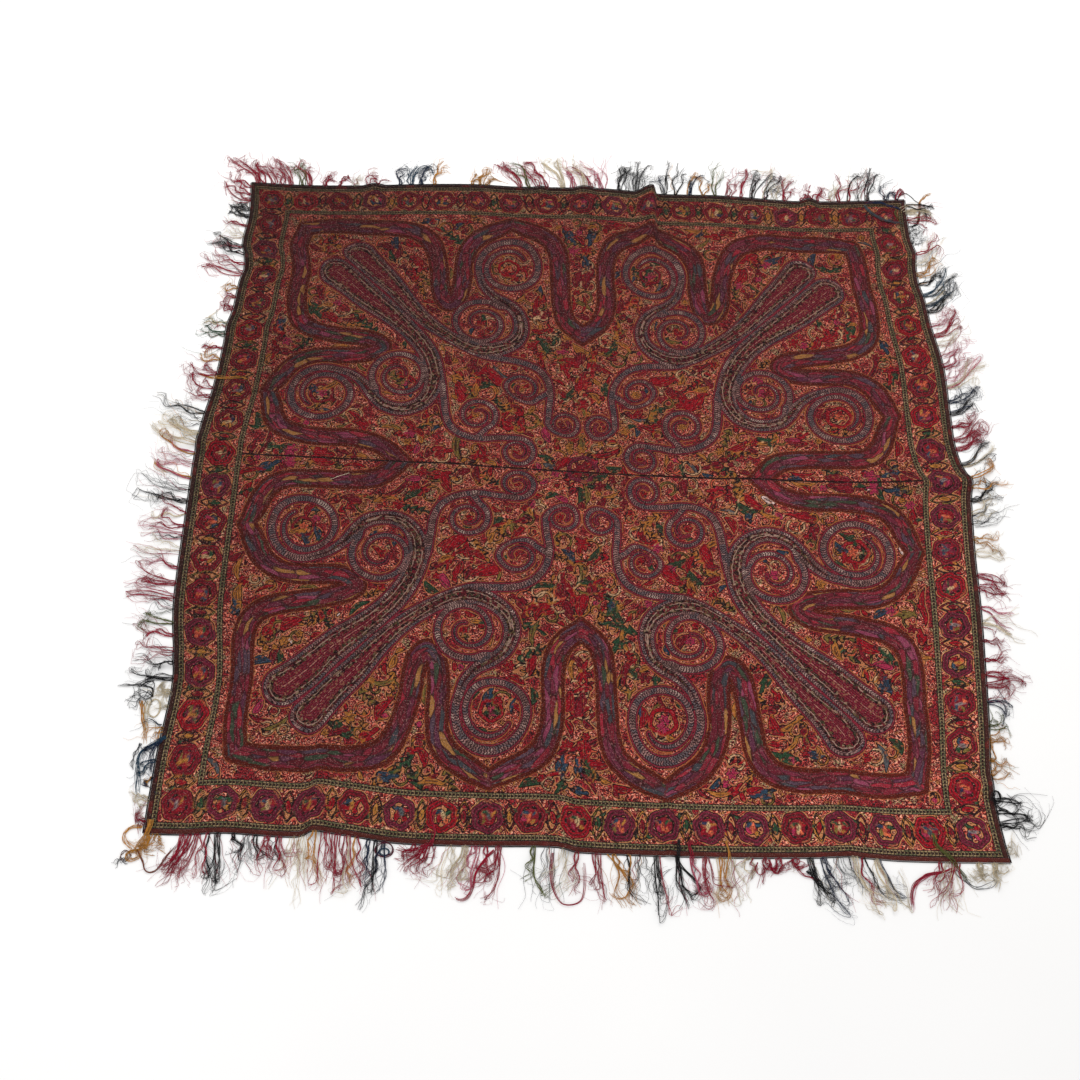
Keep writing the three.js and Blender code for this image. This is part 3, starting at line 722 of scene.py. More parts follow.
def strokes(wool, place):
    """The ground: short coral, peach and gold strokes in curls on dark red, with dark gaps."""
    bent = place.shifted(wool.noise(place, 70, 1, "Color"), 0.012)
    curls = wool.noise(bent, 78, 0.5)
    line = abs((curls * 6.4).fraction() - 0.5) * 2
    stroke = line.under(0.5, 0.25) * wool.noise(place, 230).over(0.37, 0.06)
    tone = wool.noise(place, 150, 1)
    colour = wool.blend(tone.over(0.5, 0.12), (0.43, 0.06, 0.045), (0.6, 0.2, 0.14))
    colour = wool.blend(wool.noise(place, 30, 1).over(0.58, 0.08), colour, (0.34, 0.17, 0.055))
    colour = wool.blend(wool.noise(place, 27, 2).over(0.6, 0.05), colour, (0.27, 0.25, 0.13))
    colour = wool.blend(wool.noise(place, 210).over(0.61, 0.05), colour, (0.74, 0.39, 0.29))
    colour = wool.blend(wool.noise(place, 24, 2).over(0.56, 0.06), colour, (0.28, 0.02, 0.03))
    gaps = wool.steps(wool.noise(place, 120, 0.5) * 1.6 - 0.3, [
        (0.012, 0.006, 0.007), (0.09, 0.01, 0.014), (0.03, 0.009, 0.01), (0.13, 0.014, 0.02),
        (0.022, 0.024, 0.02)])
    return wool.blend(stroke, gaps, colour), stroke


def fillings(wool, colour, height):
    """Motifs over the ground: streaked wool, a darker line inside, a dark outline, a pale thread."""
    distance, u, v = wool.noted("motif").apart()
    dye = wool.noted("motif_dye", "Color")
    place = wool.noted("flat")
    distance = distance + (wool.noise(place, 170, 1) + wool.noise(place, 55) - 1.0) * 0.0019
    pale = distance.under(0.0034) * distance.over(0.0014) * wool.noise(place, 40).over(0.44, 0.05)
    colour = wool.blend(pale, colour, (0.4, 0.18, 0.08))
    grain = wool.noise(wool.vector(u * 25, v * 130, distance * 60), 3.0, 1)
    solid = wool.darker(dye, grain * 1.9 + 0.1)
    patch = wool.cells(wool.vector(u, v, 0.0), 130).apart()[0]
    solid = wool.blend(patch.over(0.9) * 0.6, solid, (0.025, 0.01, 0.012))
    solid = wool.blend(patch.under(0.06) * 0.6, solid, (0.36, 0.13, 0.06))
    colour = wool.blend(distance.under(0.0014), colour, (0.014, 0.008, 0.009))
    colour = wool.blend(distance.under(-0.0004), colour, solid)
    inner = distance.under(-0.0042) * distance.over(-0.0056)
    colour = wool.blend(inner * 0.8, colour, (0.03, 0.01, 0.012))
    colour = wool.blend(abs(v).under(0.0008) * distance.under(-0.003), colour, (0.02, 0.01, 0.01))
    return colour, height + distance.under(0, 0.003) * 0.6


def wear_and_painted_shade(wool, place, colour, lift=1.0, green=0.78, blue=0.73):
    """Uneven dye and wear over the whole cloth, painted shade darker towards the far (north) side and
    lighter towards the east, the grain of single threads, and stray specks.
    """
    wear = wool.noise(place, 3.2, 2) * 0.5 + 0.75
    thread = wool.noise(place, 620) * 1.1 + 0.45
    east, north, _ = place.apart()
    # Painted shade: the colour darkens and turns a little redder towards the far (north) side and lightens
    # towards the east; wear and thread are the random part.
    redder = north * -0.05
    lit = wear * thread * ((0.78 - north * 0.24 + east * 0.18) * lift)
    colour = wool.darker(colour, lit, redder + green, redder + blue)
    colour = wool.blend(wool.noise(place, 320, 1).over(0.635, 0.05) * 0.15, colour, (0.62, 0.42, 0.38))
    return wool.blend(wool.noise(place, 290, 1).under(0.38, 0.06) * 0.6, colour, (0.02, 0.007, 0.008))


# Depths in from a ribbon's edge, and distances out from the middle of the winding band.
ROPE_LINE, ROPE_MIDDLE, ROPE_END, CORE_START = 0.0032, 0.0082, 0.0128, 0.031
BAND_FILL, BAND_RIM, BAND_LINE = 0.0178, 0.0266, 0.0286
BAND_TINTS = [
    (0.13, 0.014, 0.028), (0.09, 0.012, 0.022), (0.11, 0.018, 0.036), (0.07, 0.02, 0.042),
    (0.2, 0.016, 0.03), (0.035, 0.04, 0.05), (0.1, 0.013, 0.022), (0.17, 0.035, 0.075),
    (0.075, 0.01, 0.016), (0.11, 0.016, 0.026), (0.24, 0.12, 0.04), (0.055, 0.035, 0.055),
    (0.15, 0.015, 0.028), (0.09, 0.018, 0.036), (0.03, 0.045, 0.03), (0.12, 0.014, 0.024),
]
PALM_SPECKS = [
    (0.012, 0.006, 0.007), (0.05, 0.011, 0.013), (0.085, 0.065, 0.03), (0.12, 0.013, 0.022),
    (0.02, 0.01, 0.01), (0.2, 0.16, 0.105), (0.035, 0.035, 0.02), (0.08, 0.01, 0.018),
    (0.13, 0.055, 0.04), (0.02, 0.01, 0.01), (0.06, 0.012, 0.016),
]
ROPE_LILACS = [
    (0.3, 0.225, 0.21), (0.14, 0.09, 0.085), (0.26, 0.165, 0.16), (0.1, 0.095, 0.11),
    (0.2, 0.125, 0.13), (0.38, 0.32, 0.29),
]


def winding_band(wool, place, colour, height, band, band_way, band_side):
    """An ochre line, a red-brown rim, and claret filled with long strokes of several dyes."""
    line = band.under(BAND_LINE) * (wool.noise(place, 22) * 1.2)
    colour = wool.blend(line, colour, (0.25, 0.085, 0.03))
    ribs = abs((band * 330).fraction() - 0.5) * wool.noise(place, 120) * 4
    rim = wool.darker((0.105, 0.018, 0.012), ribs * 0.8 + 0.35)
    colour = wool.blend(band.under(BAND_RIM), colour, rim)
    wander = wool.noise(place, 30, 1) * 0.9
    lengthwise = wool.vector(band_way * 24 + wander, band_side * 105 + wander, 0.0)
    tint = wool.steps(wool.cells(lengthwise, 1.0).apart()[0], BAND_TINTS)
    outlines = wool.cells(lengthwise, 1.0, "Distance", "DISTANCE_TO_EDGE")
    tint = wool.blend(outlines.under(0.07, 0.12), tint, (0.035, 0.01, 0.012))
    streak = wool.noise(wool.vector(band_way * 60, band_side * 500, 0.0), 1.0, 1)
    tint = wool.darker(tint, streak * 2.0 + 0.14, 1.12, 1.1)
    flecks = wool.noise(place, 200, 1).over(0.63, 0.05) * wool.noise(place, 34).over(0.5, 0.1)
    tint = wool.blend(flecks * 0.6, tint, (0.26, 0.13, 0.14))
    inside = band.under(BAND_FILL)
    return wool.blend(inside, colour, tint), height * (1 - inside) + inside * 0.7


def inside_palm(wool, place, colour, depth, aside):
    """Cream and olive specks on dark red, a claret core and a pale line down it."""
    halo = depth.over(-0.0042) * wool.noise(place, 26).over(0.48, 0.05)
    colour = wool.blend(halo, colour, (0.3, 0.1, 0.04))
    colour = wool.blend(depth.over(-0.0014), colour, (0.02, 0.008, 0.01))
    speckle = wool.steps(wool.cells(place, 200).apart()[0], PALM_SPECKS)
    speckle = wool.darker(speckle, wool.noise(place, 420) * 1.4 + 0.3)
    colour = wool.blend(depth.over(ROPE_END), colour, speckle)
    lines = abs((abs(aside) * 190).fraction() - 0.5).under(0.14, 0.2)
    core = wool.blend(lines, (0.15, 0.014, 0.03), (0.04, 0.008, 0.012))
    core = wool.darker(core, wool.noise(place, 220, 1) * 1.6 + 0.2)
    in_core = (depth + wool.noise(place, 110) * 0.008).over(CORE_START)
    colour = wool.blend(in_core, colour, core)
    specks = wool.cells(place, 240).apart()[0]
    colour = wool.blend(in_core * specks.over(0.86), colour, (0.2, 0.09, 0.06))
    pale = abs(aside).under(0.001) * depth.over(0.028) * wool.noise(place, 120).over(0.47, 0.1)
    colour = wool.blend(pale * 0.8, colour, (0.42, 0.24, 0.2))
    inner_line = abs(depth - (0.0165 + wool.noise(place, 90) * 0.004)).under(0.0011)
    inner_line = inner_line * depth.over(ROPE_END) * wool.noise(place, 70).over(0.4, 0.1)
    return wool.blend(inner_line, colour, (0.3, 0.23, 0.19))


def rope_stitch(wool, place, colour, height, depth, rope_way):
    """Grey-lilac strands laid slantwise inside a crimson line."""
    colour = wool.blend(depth.over(0.0) * depth.under(ROPE_END), colour, (0.165, 0.017, 0.034))
    roped = depth.over(ROPE_LINE) * depth.under(ROPE_END)
    colour = wool.blend(roped, colour, (0.022, 0.01, 0.014))
    bend = abs(depth - ROPE_MIDDLE) * 150
    slant = (rope_way * 165 + bend + wool.noise(place, 60) * 0.5).fraction()
    strand = slant.under(0.56, 0.25) * depth.over(0.0044, 0.001) * depth.under(0.0116, 0.001)
    lilac = wool.steps(wool.noise(place, 19, 2) * 2.4 - 0.7, ROPE_LILACS)
    lilac = wool.darker(lilac, wool.noise(place, 360) * 2.0 - 0.05)
    return wool.blend(strand, colour, lilac), height * (1 - roped) + roped * (strand * 0.5 + 0.7)


def field_material():
    wool = Wool("field embroidery")
    place = wool.noted("flat")
    colour, height = strokes(wool, place)
    colour, height = fillings(wool, colour, height)
    depth, rope_way, aside = wool.noted("scroll").apart()
    band, band_way, band_side = wool.noted("serpent").apart()
    by_hand = wool.noise(place, 130, 1) - 0.5
    depth, band = depth + by_hand * 0.002, band + by_hand * 0.005
    colour, height = winding_band(wool, place, colour, height, band, band_way, band_side)
    colour = inside_palm(wool, place, colour, depth, aside)
    colour, height = rope_stitch(wool, place, colour, height, depth, rope_way)
    # The seam across the middle.
    puckered = wool.noise(place, 46) * 0.004 + 0.0004
    seam = abs(place.apart()[1]).under(puckered, 0.0008)
    colour = wear_and_painted_shade(wool, place, wool.blend(seam, colour, (0.02, 0.008, 0.009)))
    return wool.finished(colour, height + wool.noise(place, 1100) * 0.5, STITCH_DEPTH)


def field_half(name, low, high, material):
    columns = int(FIELD_REACH * 2 / CELL)
    rows = int((high - low) / CELL)
    across = np.linspace(-FIELD_REACH, FIELD_REACH, columns + 1)
    s, t = np.meshgrid(across, np.linspace(low, high, rows + 1))
    drawn_at = {key: value.reshape(s.shape) for key, value in scheme(s.ravel(), t.ravel()).items()}
    motifs = Motifs(s, t)
    for motif in fill:
        motifs.lay(*motif)
    depth, band = drawn_at["depth"], drawn_at["band"]
    rope_rise = ROPE_RISE * ease(depth / 0.004)
    band_rise = STITCH_RISE * ease((0.025 - np.abs(band)) / 0.006)
    thick = CLOTH + np.maximum.reduce([rope_rise, band_rise, motifs.rise()])
    # Under the tall fold the underside has as many points as the face.
    sharp = np.flatnonzero((s[0] > 0.12) & (s[0] < 0.24))
    under = every(6, rows), every(6, columns, sharp)
    piece, _, _ = cut(name, s, t, thick, under[1], under[0])
    rope_way, aside = drawn_at["rope_way"], drawn_at["aside"]
    note(piece, "scroll", on_both_faces(*under, depth, rope_way, aside))
    note(piece, "serpent", on_both_faces(*under, np.abs(band), drawn_at["band_way"], band))
    motifs.note_on(piece, under)
    finish_piece(piece, material, name.replace("_cloth", ""))
    return piece


worked_field = field_material()
field_north = field_half("field_north_cloth", SEAM / 2, FIELD_REACH, worked_field)
field_south = field_half("field_south_cloth", -FIELD_REACH, -SEAM / 2, worked_field)

# ---- Border ----
# Separate narrow bands sewn round the field and mitred at the corners, the side ones in two
# lengths. Between two guard stripes in chain stitch they carry round medallions with a flower in
# each, and a slim upright leaf between every two.
BORDER_OUT = 0.915
CORNER = BORDER_OUT - SEAM
BORDER_END = BORDER_IN - SEAM / 2
FINE = 0.0036  # distance between the points of the worked border
MEDALLIONS = 9  # on each side of the middle one
PITCH = 0.096
BAND_MIDDLE = 0.864
GUARD = 0.0135


# The small parts of a medallion's flower: shape, along, out, size, least and most turn, dyes.
MEDALLION_PARTS = [
    (leaf, 0.008, -0.009, 0.013, -0.5, 0.5, "teal teal navy green"),
    (leaf, -0.01, -0.007, 0.011, 0, 3, "green gold crimson teal"),
    (flower, -0.007, 0.01, 0.0075, 0, 3, "gold coral crimson"),
    (bud, 0.01, 0.007, 0.009, 0, 6, "crimson pink olive"),
]
UPRIGHT = math.pi / 2


def border_motifs(s, t):
    """The medallions and upright leaves of all four sides, over one piece's grid."""
    motifs = Motifs(s, t)
    pick = np.random.RandomState(11)

    def lay(shape, along, out, size, turn, dyes):
        s0, t0 = [(along, out), (-out, along), (-along, -out), (out, -along)][side]
        motifs.lay(shape, s0, t0, size, turn + math.pi / 2 * side, pick.choice(dyes.split()))

    for side in range(4):
        for k in range(1 - MEDALLIONS, MEDALLIONS + 1):
            along = k * PITCH + pick.uniform(-0.003, 0.003)
            out = BAND_MIDDLE + pick.uniform(-0.002, 0.002)
            turn = pick.uniform(0, 6)
            lay(wreath, along, out, 0.0285, turn, "claret claret purple claret purple crimson")
            lay(disc, along, out, pick.choice([0.0195, 0.0185, 0.009]), 0, "claret claret purple")
            across, high = pick.uniform(-0.004, 0.004), pick.uniform(-0.003, 0.003)
            turn = UPRIGHT + pick.uniform(-0.3, 0.3)
            lay(almond, along + across, out + high, 0.014, turn, "cream grey gold coral slate")
            for shape, aside, higher, size, least, most, dyes in MEDALLION_PARTS:
                turn = pick.uniform(least, most)
                lay(shape, along + across + aside, out + higher, size, turn, dyes)
            # The upright leaf before this medallion.
            along -= PITCH / 2
            size = pick.uniform(0.9, 1.1)
            turn = UPRIGHT + pick.uniform(-0.12, 0.12)
            lay(leaf_line, along, out, 0.031 * size, turn, "gold olive claret claret")
            turn = UPRIGHT + pick.uniform(-0.2, 0.2)
            lay(almond, along, out, 0.015 * size, turn, "gold claret crimson green")
            for edge in (-1, 1):
                leaf_out = out + pick.uniform(-0.024, 0.024)
                turn = pick.uniform(0, 6)
                lay(leaf, along + 0.013 * edge, leaf_out, 0.008, turn, "claret crimson green gold")
    return motifs


def border_material():
    wool = Wool("border embroidery")
    place = wool.noted("flat")
    colour, height = strokes(wool, place)
    colour, height = fillings(wool, colour, height)
    out, along, _ = wool.noted("guard").apart()
    for low in (BORDER_IN, BORDER_OUT - GUARD):
        across = (out - (low + GUARD / 2)) * (2 / GUARD)
        away = abs(across)
        stripe = away.under(1.0, 0.08)
        colour = wool.blend(stripe, colour, (0.016, 0.01, 0.01))
        link = (along * 125 + away * 0.5 + wool.noise(place, 30) * 0.6).fraction()
        chain = away.over(0.36, 0.1) * away.under(0.74, 0.1) * link.under(0.78, 0.12)
        tone = wool.noise(place, 60).over(0.5, 0.1)
        colour = wool.blend(chain, colour, wool.blend(tone, (0.1, 0.11, 0.06), (0.24, 0.19, 0.11)))
        middle_link = (along * 125 + 0.5 + wool.noise(place, 30) * 0.6).fraction()
        colour = wool.blend(away.under(0.24, 0.1) * middle_link.over(0.8, 0.1), colour, (0.2, 0.15, 0.08))
        height = height * (1 - stripe) + stripe * (chain * 0.6 + 0.3)
    colour = wear_and_painted_shade(wool, place, colour, 1.1, 0.87, 0.77)
    return wool.finished(colour, height + wool.noise(place, 1100) * 0.5, STITCH_DEPTH)


worked_border = border_material()


def border_piece(name, s, t):
    motifs = border_motifs(s, t)
    under = every(4, s.shape[0] - 1), every(4, s.shape[1] - 1)
    piece, flat_s, flat_t = cut(name, s, t, CLOTH + motifs.rise(), under[1], under[0])
    out = np.maximum(np.abs(flat_s), np.abs(flat_t))
    along = np.where(np.abs(flat_s) > np.abs(flat_t), flat_t, flat_s)
    note(piece, "guard", np.stack([out, along, 0 * out], 1))
    motifs.note_on(piece, under)
    finish_piece(piece, worked_border, name.replace("_cloth", ""))
    return piece


border_pieces = {}
for name, low, high in (("north", BORDER_IN, CORNER), ("south", -CORNER, -BORDER_IN)):
    t_lines = np.linspace(low, high, int((high - low) / FINE) + 1)
    share = np.linspace(-1, 1, int(2 * CORNER / FINE) + 1)
    reach = BORDER_END + np.abs(t_lines) - BORDER_IN
    s = share[None, :] * reach[:, None]
    t = np.repeat(t_lines[:, None], len(share), 1)
    border_pieces[name] = border_piece(f"border_{name}_cloth", s, t)
for name, low, high, sign in (
    ("west_upper", -CORNER, -BORDER_IN, 1), ("west_lower", -CORNER, -BORDER_IN, -1),
    ("east_upper", BORDER_IN, CORNER, 1), ("east_lower", BORDER_IN, CORNER, -1),
):
    s_lines = np.linspace(low, high, int((high - low) / FINE) + 1)
    share = np.linspace(0, 1, int(CORNER / FINE) + 1)
    reach = BORDER_END + np.abs(s_lines) - BORDER_IN
    t = sign * (SEAM / 2 + share[:, None] * (reach - SEAM / 2)[None, :])
    s = np.repeat(s_lines[None, :], len(share), 0)
    if sign < 0:
        t = t[::-1]
    border_pieces[name] = border_piece(f"border_{name}_cloth", s, t)

# ---- Edging ----
# A narrow band of dark wool folded over the raw edge and whipped down with close slanting
# stitches, so that it stands a little proud of the cloth as a small roll.
EDGING_HEIGHT = 0.0024


def edging_material():
    wool = Wool("edging wool", 0.95, 0.05)
    place = wool.noted("flat")
    along, across, warm = wool.noted("roll").apart()
    whip = (along * 260 + across * 1.1 + wool.noise(place, 60) * 0.5).fraction()
    stitch = whip.under(0.6, 0.35)
    dark = wool.blend(warm, (0.012, 0.007, 0.007), (0.03, 0.01, 0.01))
    light = wool.blend(warm, (0.035, 0.02, 0.018), (0.1, 0.024, 0.018))
    colour = wool.blend(stitch, dark, light)
    colour = wool.blend(wool.noise(place, 26, 1).over(0.6, 0.06), colour, (0.1, 0.018, 0.016))
    colour = wear_and_painted_shade(wool, place, colour)
    return wool.finished(colour, stitch + wool.noise(place, 900) * 0.4, 0.0008)


bound = edging_material()


def edging_piece(name, s, t, across, along, warm):
    roll = np.sqrt(np.maximum(0, 1 - across ** 2))
    thick = EDGING_HEIGHT * (0.3 + 0.75 * roll) * (1 + 0.1 * np.sin(along * 900))
    piece, flat_s, flat_t = cut(name, s, t, thick)
    note(piece, "roll", np.stack([
        np.tile(along.ravel(), 2), np.tile(across.ravel(), 2), np.full(2 * along.size, warm)], 1))
    finish_piece(piece, bound, name.replace("_cloth", ""))
    return piece


EDGE_STEP = 0.0032
across_lines = np.sin(np.linspace(-math.pi / 2, math.pi / 2, 7))
middle_line, half_width = (BORDER_OUT + HALF) / 2, (HALF - BORDER_OUT) / 2
for name, sign, reach, warm in (
    ("north", 1, HALF, 0.1), ("south", -1, HALF, 1.0), ("east", 1, CORNER, 0.35), ("west", -1, CORNER, 0.2),
):
    along = np.linspace(-reach, reach, int(2 * reach / EDGE_STEP))
    out = sign * middle_line + half_width * across_lines
    if name in ("north", "south"):
        s, t = np.meshgrid(along, out)
        across, run = np.meshgrid(across_lines, along, indexing="ij")
    else:
        s, t = np.meshgrid(out, along)
        run, across = np.meshgrid(along, across_lines, indexing="ij")
    edging_piece(f"edging_{name}_cloth", s, t, across, run, warm)

# ---- Fringe ----
# Loose woollen warp threads and added yarns, knotted along a narrow heading on all four sides and
# left to lie as they fell: locks in crimson, black, cream, gold, olive and navy, each a bundle of
# a few dozen threads that spread and curl towards their ends.
STRIP_WIDTH = 0.003
LOCK_STEP = 0.029
LOCK_CLEAR = 0.0005
VARY_LENGTH, VARY_LEAN, VARY_CURL, VARY_ROOT = 0.28, 7, 0.3, 0.35
WAVER, WAVES, ROOT_LEAN, LEAN_RISE, CURL_RISE, SINK = 13, 1.2, 0.4, 2, 1.5, 1.4

# Rows of locks: from, to, locks, length, lean and curl in degrees, and the dyes in order.
FRINGE_ROWS = {
    "north": [
        (-0.92, -0.8, 5, 0.14, -44, -6, "crimson"),
        (-0.795, -0.745, 2, 0.12, -22, -50, "olive crimson"),
        (-0.735, -0.545, 5, 0.062, 8, 120, "crimson crimson cream crimson crimson"),
        (-0.53, -0.4, 4, 0.1, 4, 105, "navy teal navy gold"),
        (-0.315, -0.255, 3, 0.06, 14, 100, "gold"),
        (-0.185, -0.08, 4, 0.125, -44, 20, "crimson olive crimson crimson"),
        (-0.06, 0.08, 5, 0.128, -24, -12, "cream pink cream crimson pink"),
        (0.1, 0.19, 4, 0.118, 4, 14, "black grey black black"),
        (0.222, 0.395, 5, 0.122, 8, 50, "black black navy gold olive"),
        (0.405, 0.6, 6, 0.128, 30, 12, "crimson crimson black black cream crimson"),
        (0.612, 0.69, 3, 0.06, 30, 40, "crimson"),
        (0.698, 0.835, 5, 0.126, 22, 14, "cream crimson crimson black black"),
        (0.85, 0.918, 2, 0.062, 40, 60, "navy crimson"),
    ],
    "south": [
        (-0.922, -0.89, 2, 0.06, -20, 40, "gold"),
        (-0.848, -0.8, 3, 0.128, -24, -6, "crimson"),
        (-0.795, -0.755, 2, 0.132, 2, 0, "crimson black"),
        (-0.742, -0.62, 5, 0.092, 8, 30, "black grey black crimson crimson"),
        (-0.615, -0.455, 7, 0.138, 2, -2, "cream cream gold crimson crimson crimson crimson"),
        (-0.448, -0.404, 3, 0.138, -4, -4, "navy black navy"),
        (-0.352, -0.296, 3, 0.068, -42, -10, "crimson"),
        (-0.275, -0.15, 5, 0.118, -10, -4, "cream cream pink crimson crimson"),
        (-0.1, 0.02, 4, 0.128, -4, 4, "olive grey cream crimson"),
        (0.03, 0.19, 5, 0.128, 8, 4, "crimson gold gold black black"),
        (0.2, 0.35, 5, 0.122, 10, 6, "black pink crimson gold cream"),
        (0.36, 0.48, 4, 0.046, 4, 70, "cream crimson crimson crimson"),
        (0.49, 0.655, 6, 0.126, 26, 10, "black navy grey cream crimson cream"),
        (0.765, 0.82, 3, 0.118, -24, 10, "crimson cream crimson"),
        (0.835, 0.918, 2, 0.054, 10, 60, "cream"),
    ],
    "east": [
        (-0.915, -0.87, 1, 0.034, 0, 20, "cream"),
        (-0.86, -0.78, 3, 0.082, 10, -95, "black"),
        (-0.765, -0.605, 4, 0.05, 10, 60, "gold gold gold olive"),
        (-0.595, -0.41, 5, 0.08, 12, -100, "navy crimson crimson crimson crimson"),
        (-0.4, -0.235, 4, 0.098, -36, -10, "cream pink crimson crimson"),
        (-0.215, -0.15, 2, 0.092, 6, 14, "cream gold"),
        (-0.14, 0.06, 6, 0.112, 44, 6, "black cream black gold gold black"),
        (0.07, 0.25, 5, 0.124, 46, 6, "crimson crimson crimson black navy"),
        (0.26, 0.495, 7, 0.132, 54, 4, "cream pink crimson pink cream crimson pink"),
        (0.505, 0.73, 7, 0.14, 58, 4, "black grey teal black gold cream crimson"),
        (0.745, 0.825, 2, 0.058, 60, 10, "grey black"),
        (0.838, 0.915, 3, 0.1, 6, -72, "crimson cream black"),
    ],
    "west": [
        (-0.915, -0.84, 2, 0.032, -10, -40, "crimson cream"),
        (-0.825, -0.69, 4, 0.052, -46, -30, "navy teal navy gold"),
        (-0.67, -0.61, 2, 0.048, 10, 110, "cream"),
        (-0.6, -0.52, 3, 0.108, 4, 12, "black black crimson"),
        (-0.51, -0.31, 6, 0.128, 22, -38, "crimson olive grey crimson crimson pink"),
        (-0.29, -0.13, 5, 0.134, 12, 2, "cream pink crimson crimson black"),
        (-0.12, 0.135, 8, 0.136, 28, 6, "black gold pink gold cream cream black black"),
        (0.145, 0.25, 3, 0.08, 24, 90, "crimson"),
        (0.262, 0.425, 4, 0.084, 8, 80, "gold crimson green cream"),
        (0.435, 0.55, 3, 0.052, 8, 50, "crimson crimson gold"),
        (0.562, 0.69, 4, 0.13, 30, 8, "crimson crimson black black"),
        (0.7, 0.835, 4, 0.074, 44, -60, "cream crimson black black"),
        (0.842, 0.918, 3, 0.124, 48, 10, "crimson"),
    ],
}
# Each side: flat point at a distance along it and out from the middle, outward and lengthwise.
SIDES = {
    "north": (lambda along, out: (along, out), (0, 1), (1, 0)),
    "south": (lambda along, out: (along, -out), (0, -1), (1, 0)),
    "east": (lambda along, out: (out, along), (1, 0), (0, 1)),
    "west": (lambda along, out: (-out, along), (-1, 0), (0, 1)),
}


def vary(k, quality):
    """A repeatable number from -0.5 to 0.5 for lock k and one of its qualities."""
    turn = math.sin(k * 12.9898 + quality * 78.233) * 43758.5453
    return turn - math.floor(turn) - 0.5


def lock_line(side, row, i, k):
    """The line that lock k lies along: plan points from its root to its tip, and the root's height."""
    low, high, locks, length, lean, curl, _ = row
    place, outward, lengthwise = SIDES[side]
    along = low + (high - low) / locks * (i + 0.5 + VARY_ROOT * vary(k, 0))
    s, t = place(along, HALF + SEAM + STRIP_WIDTH / 2)
    root = lie(np.array([s]), np.array([t]))[0]
    length *= 1 + VARY_LENGTH * vary(k, 1)
    lean += VARY_LEAN * vary(k, 2)
    curl *= 1 + VARY_CURL * vary(k, 3)
    steps = max(3, math.floor(length / LOCK_STEP + 0.5))
    points = [root[:2]]
    for j in range(steps):
        q = j / steps
        wave = WAVER * math.sin(2 * math.pi * (WAVES * q + vary(k, 4)))
        angle = math.radians(lean * min(1, ROOT_LEAN + LEAN_RISE * q) + curl * q ** CURL_RISE + wave * q)
        step = np.array(outward) * math.cos(angle) + np.array(lengthwise) * math.sin(angle)
        points.append(points[-1] + step * length / steps)
    return np.array(points), root[2]


def smooth_plan(points, count):
    run = np.concatenate([[0], np.cumsum(np.linalg.norm(np.diff(points, axis=0), axis=1))])
    fine = np.linspace(0, run[-1], count)
    return np.stack([through(list(zip(run, points[:, k])), fine) for k in (0, 1)], 1)


TAPER = 0.55  # share of its radius that a thread loses by its tip


class Threads:
    """Thin threads with three sides, gathered into one mesh with a dye at each point."""

    def __init__(self):
        self.points, self.faces, self.dyes, self.ways, self.count = [], [], [], [], 0

    def spin(self, line, radius, colour):
        """Adds one thread along a line of points, tapering to its tip."""
        n = len(line)
        along = np.gradient(line, axis=0)
        along /= np.linalg.norm(along, axis=1, keepdims=True) + 1e-9
        side = np.cross(along, (0, 0, 1.0))
        side /= np.linalg.norm(side, axis=1, keepdims=True) + 1e-9
        up = np.cross(side, along)
        taper = radius * (1 - TAPER * np.linspace(0, 1, n) ** 2)[:, None]
        rings = [line + taper * (math.cos(a) * side + math.sin(a) * up)
                 for a in (math.pi / 2, math.pi * 7 / 6, math.pi * 11 / 6)]
        self.points.append(np.stack(rings, 1).reshape(-1, 3))
        base = self.count
        for j in range(n - 1):
            for i in range(3):
                a, b = base + 3 * j + i, base + 3 * j + (i + 1) % 3
                self.faces.append((a, b, b + 3, a + 3))
        end = base + 3 * (n - 1)
        self.faces += [(base, base + 2, base + 1), (end, end + 1, end + 2)]
        self.dyes.append(np.tile((*colour, 1.0), (3 * n, 1)))
        way = np.repeat(np.linspace(0, 1, n), 3)
        self.ways.append(np.stack([way, np.full(3 * n, self.count * 0.37 % 1), way * 0], 1))
        self.count += 3 * n

    def gather(self, name):
        mesh = bpy.data.meshes.new(name)
        mesh.from_pydata(np.concatenate(self.points).tolist(), [], self.faces)
        mesh.shade_smooth()
        piece = bpy.data.objects.new(name, mesh)
        bpy.context.collection.objects.link(piece)
        note(piece, "dye", np.concatenate(self.dyes))
        note(piece, "way", np.concatenate(self.ways))
        return piece


def thread_material():
    wool = Wool("fringe wool", 0.8, 0.1)
    dye = wool.noted("dye", "Color")
    way, own, _ = wool.noted("way").apart()
    place = wool.node("ShaderNodeTexCoord", {}, {}, "Object")
    twist = (way * 46 + own * 9).fraction()
    ply = twist.under(0.5, 0.4)
    uneven = wool.noise(place, 240, 1) * 0.7 + 0.62
    colour = wool.darker(dye, uneven * (ply * 0.3 + 0.8))
    return wool.finished(colour, ply + wool.noise(place, 1500), 0.0004)


# The fringe's wool is brighter than the embroidery's, so from here its dyes take their names.
DYES.update({
    "crimson": (166, 20, 52), "olive": (100, 106, 50), "cream": (226, 210, 180),
    "navy": (30, 44, 74), "teal": (34, 70, 94), "brown": (116, 58, 36),
    "gold": (204, 142, 60), "pink": (200, 100, 122), "black": (22, 20, 24),
    "grey": (92, 94, 98), "green": (58, 92, 62),
})
spun = thread_material()


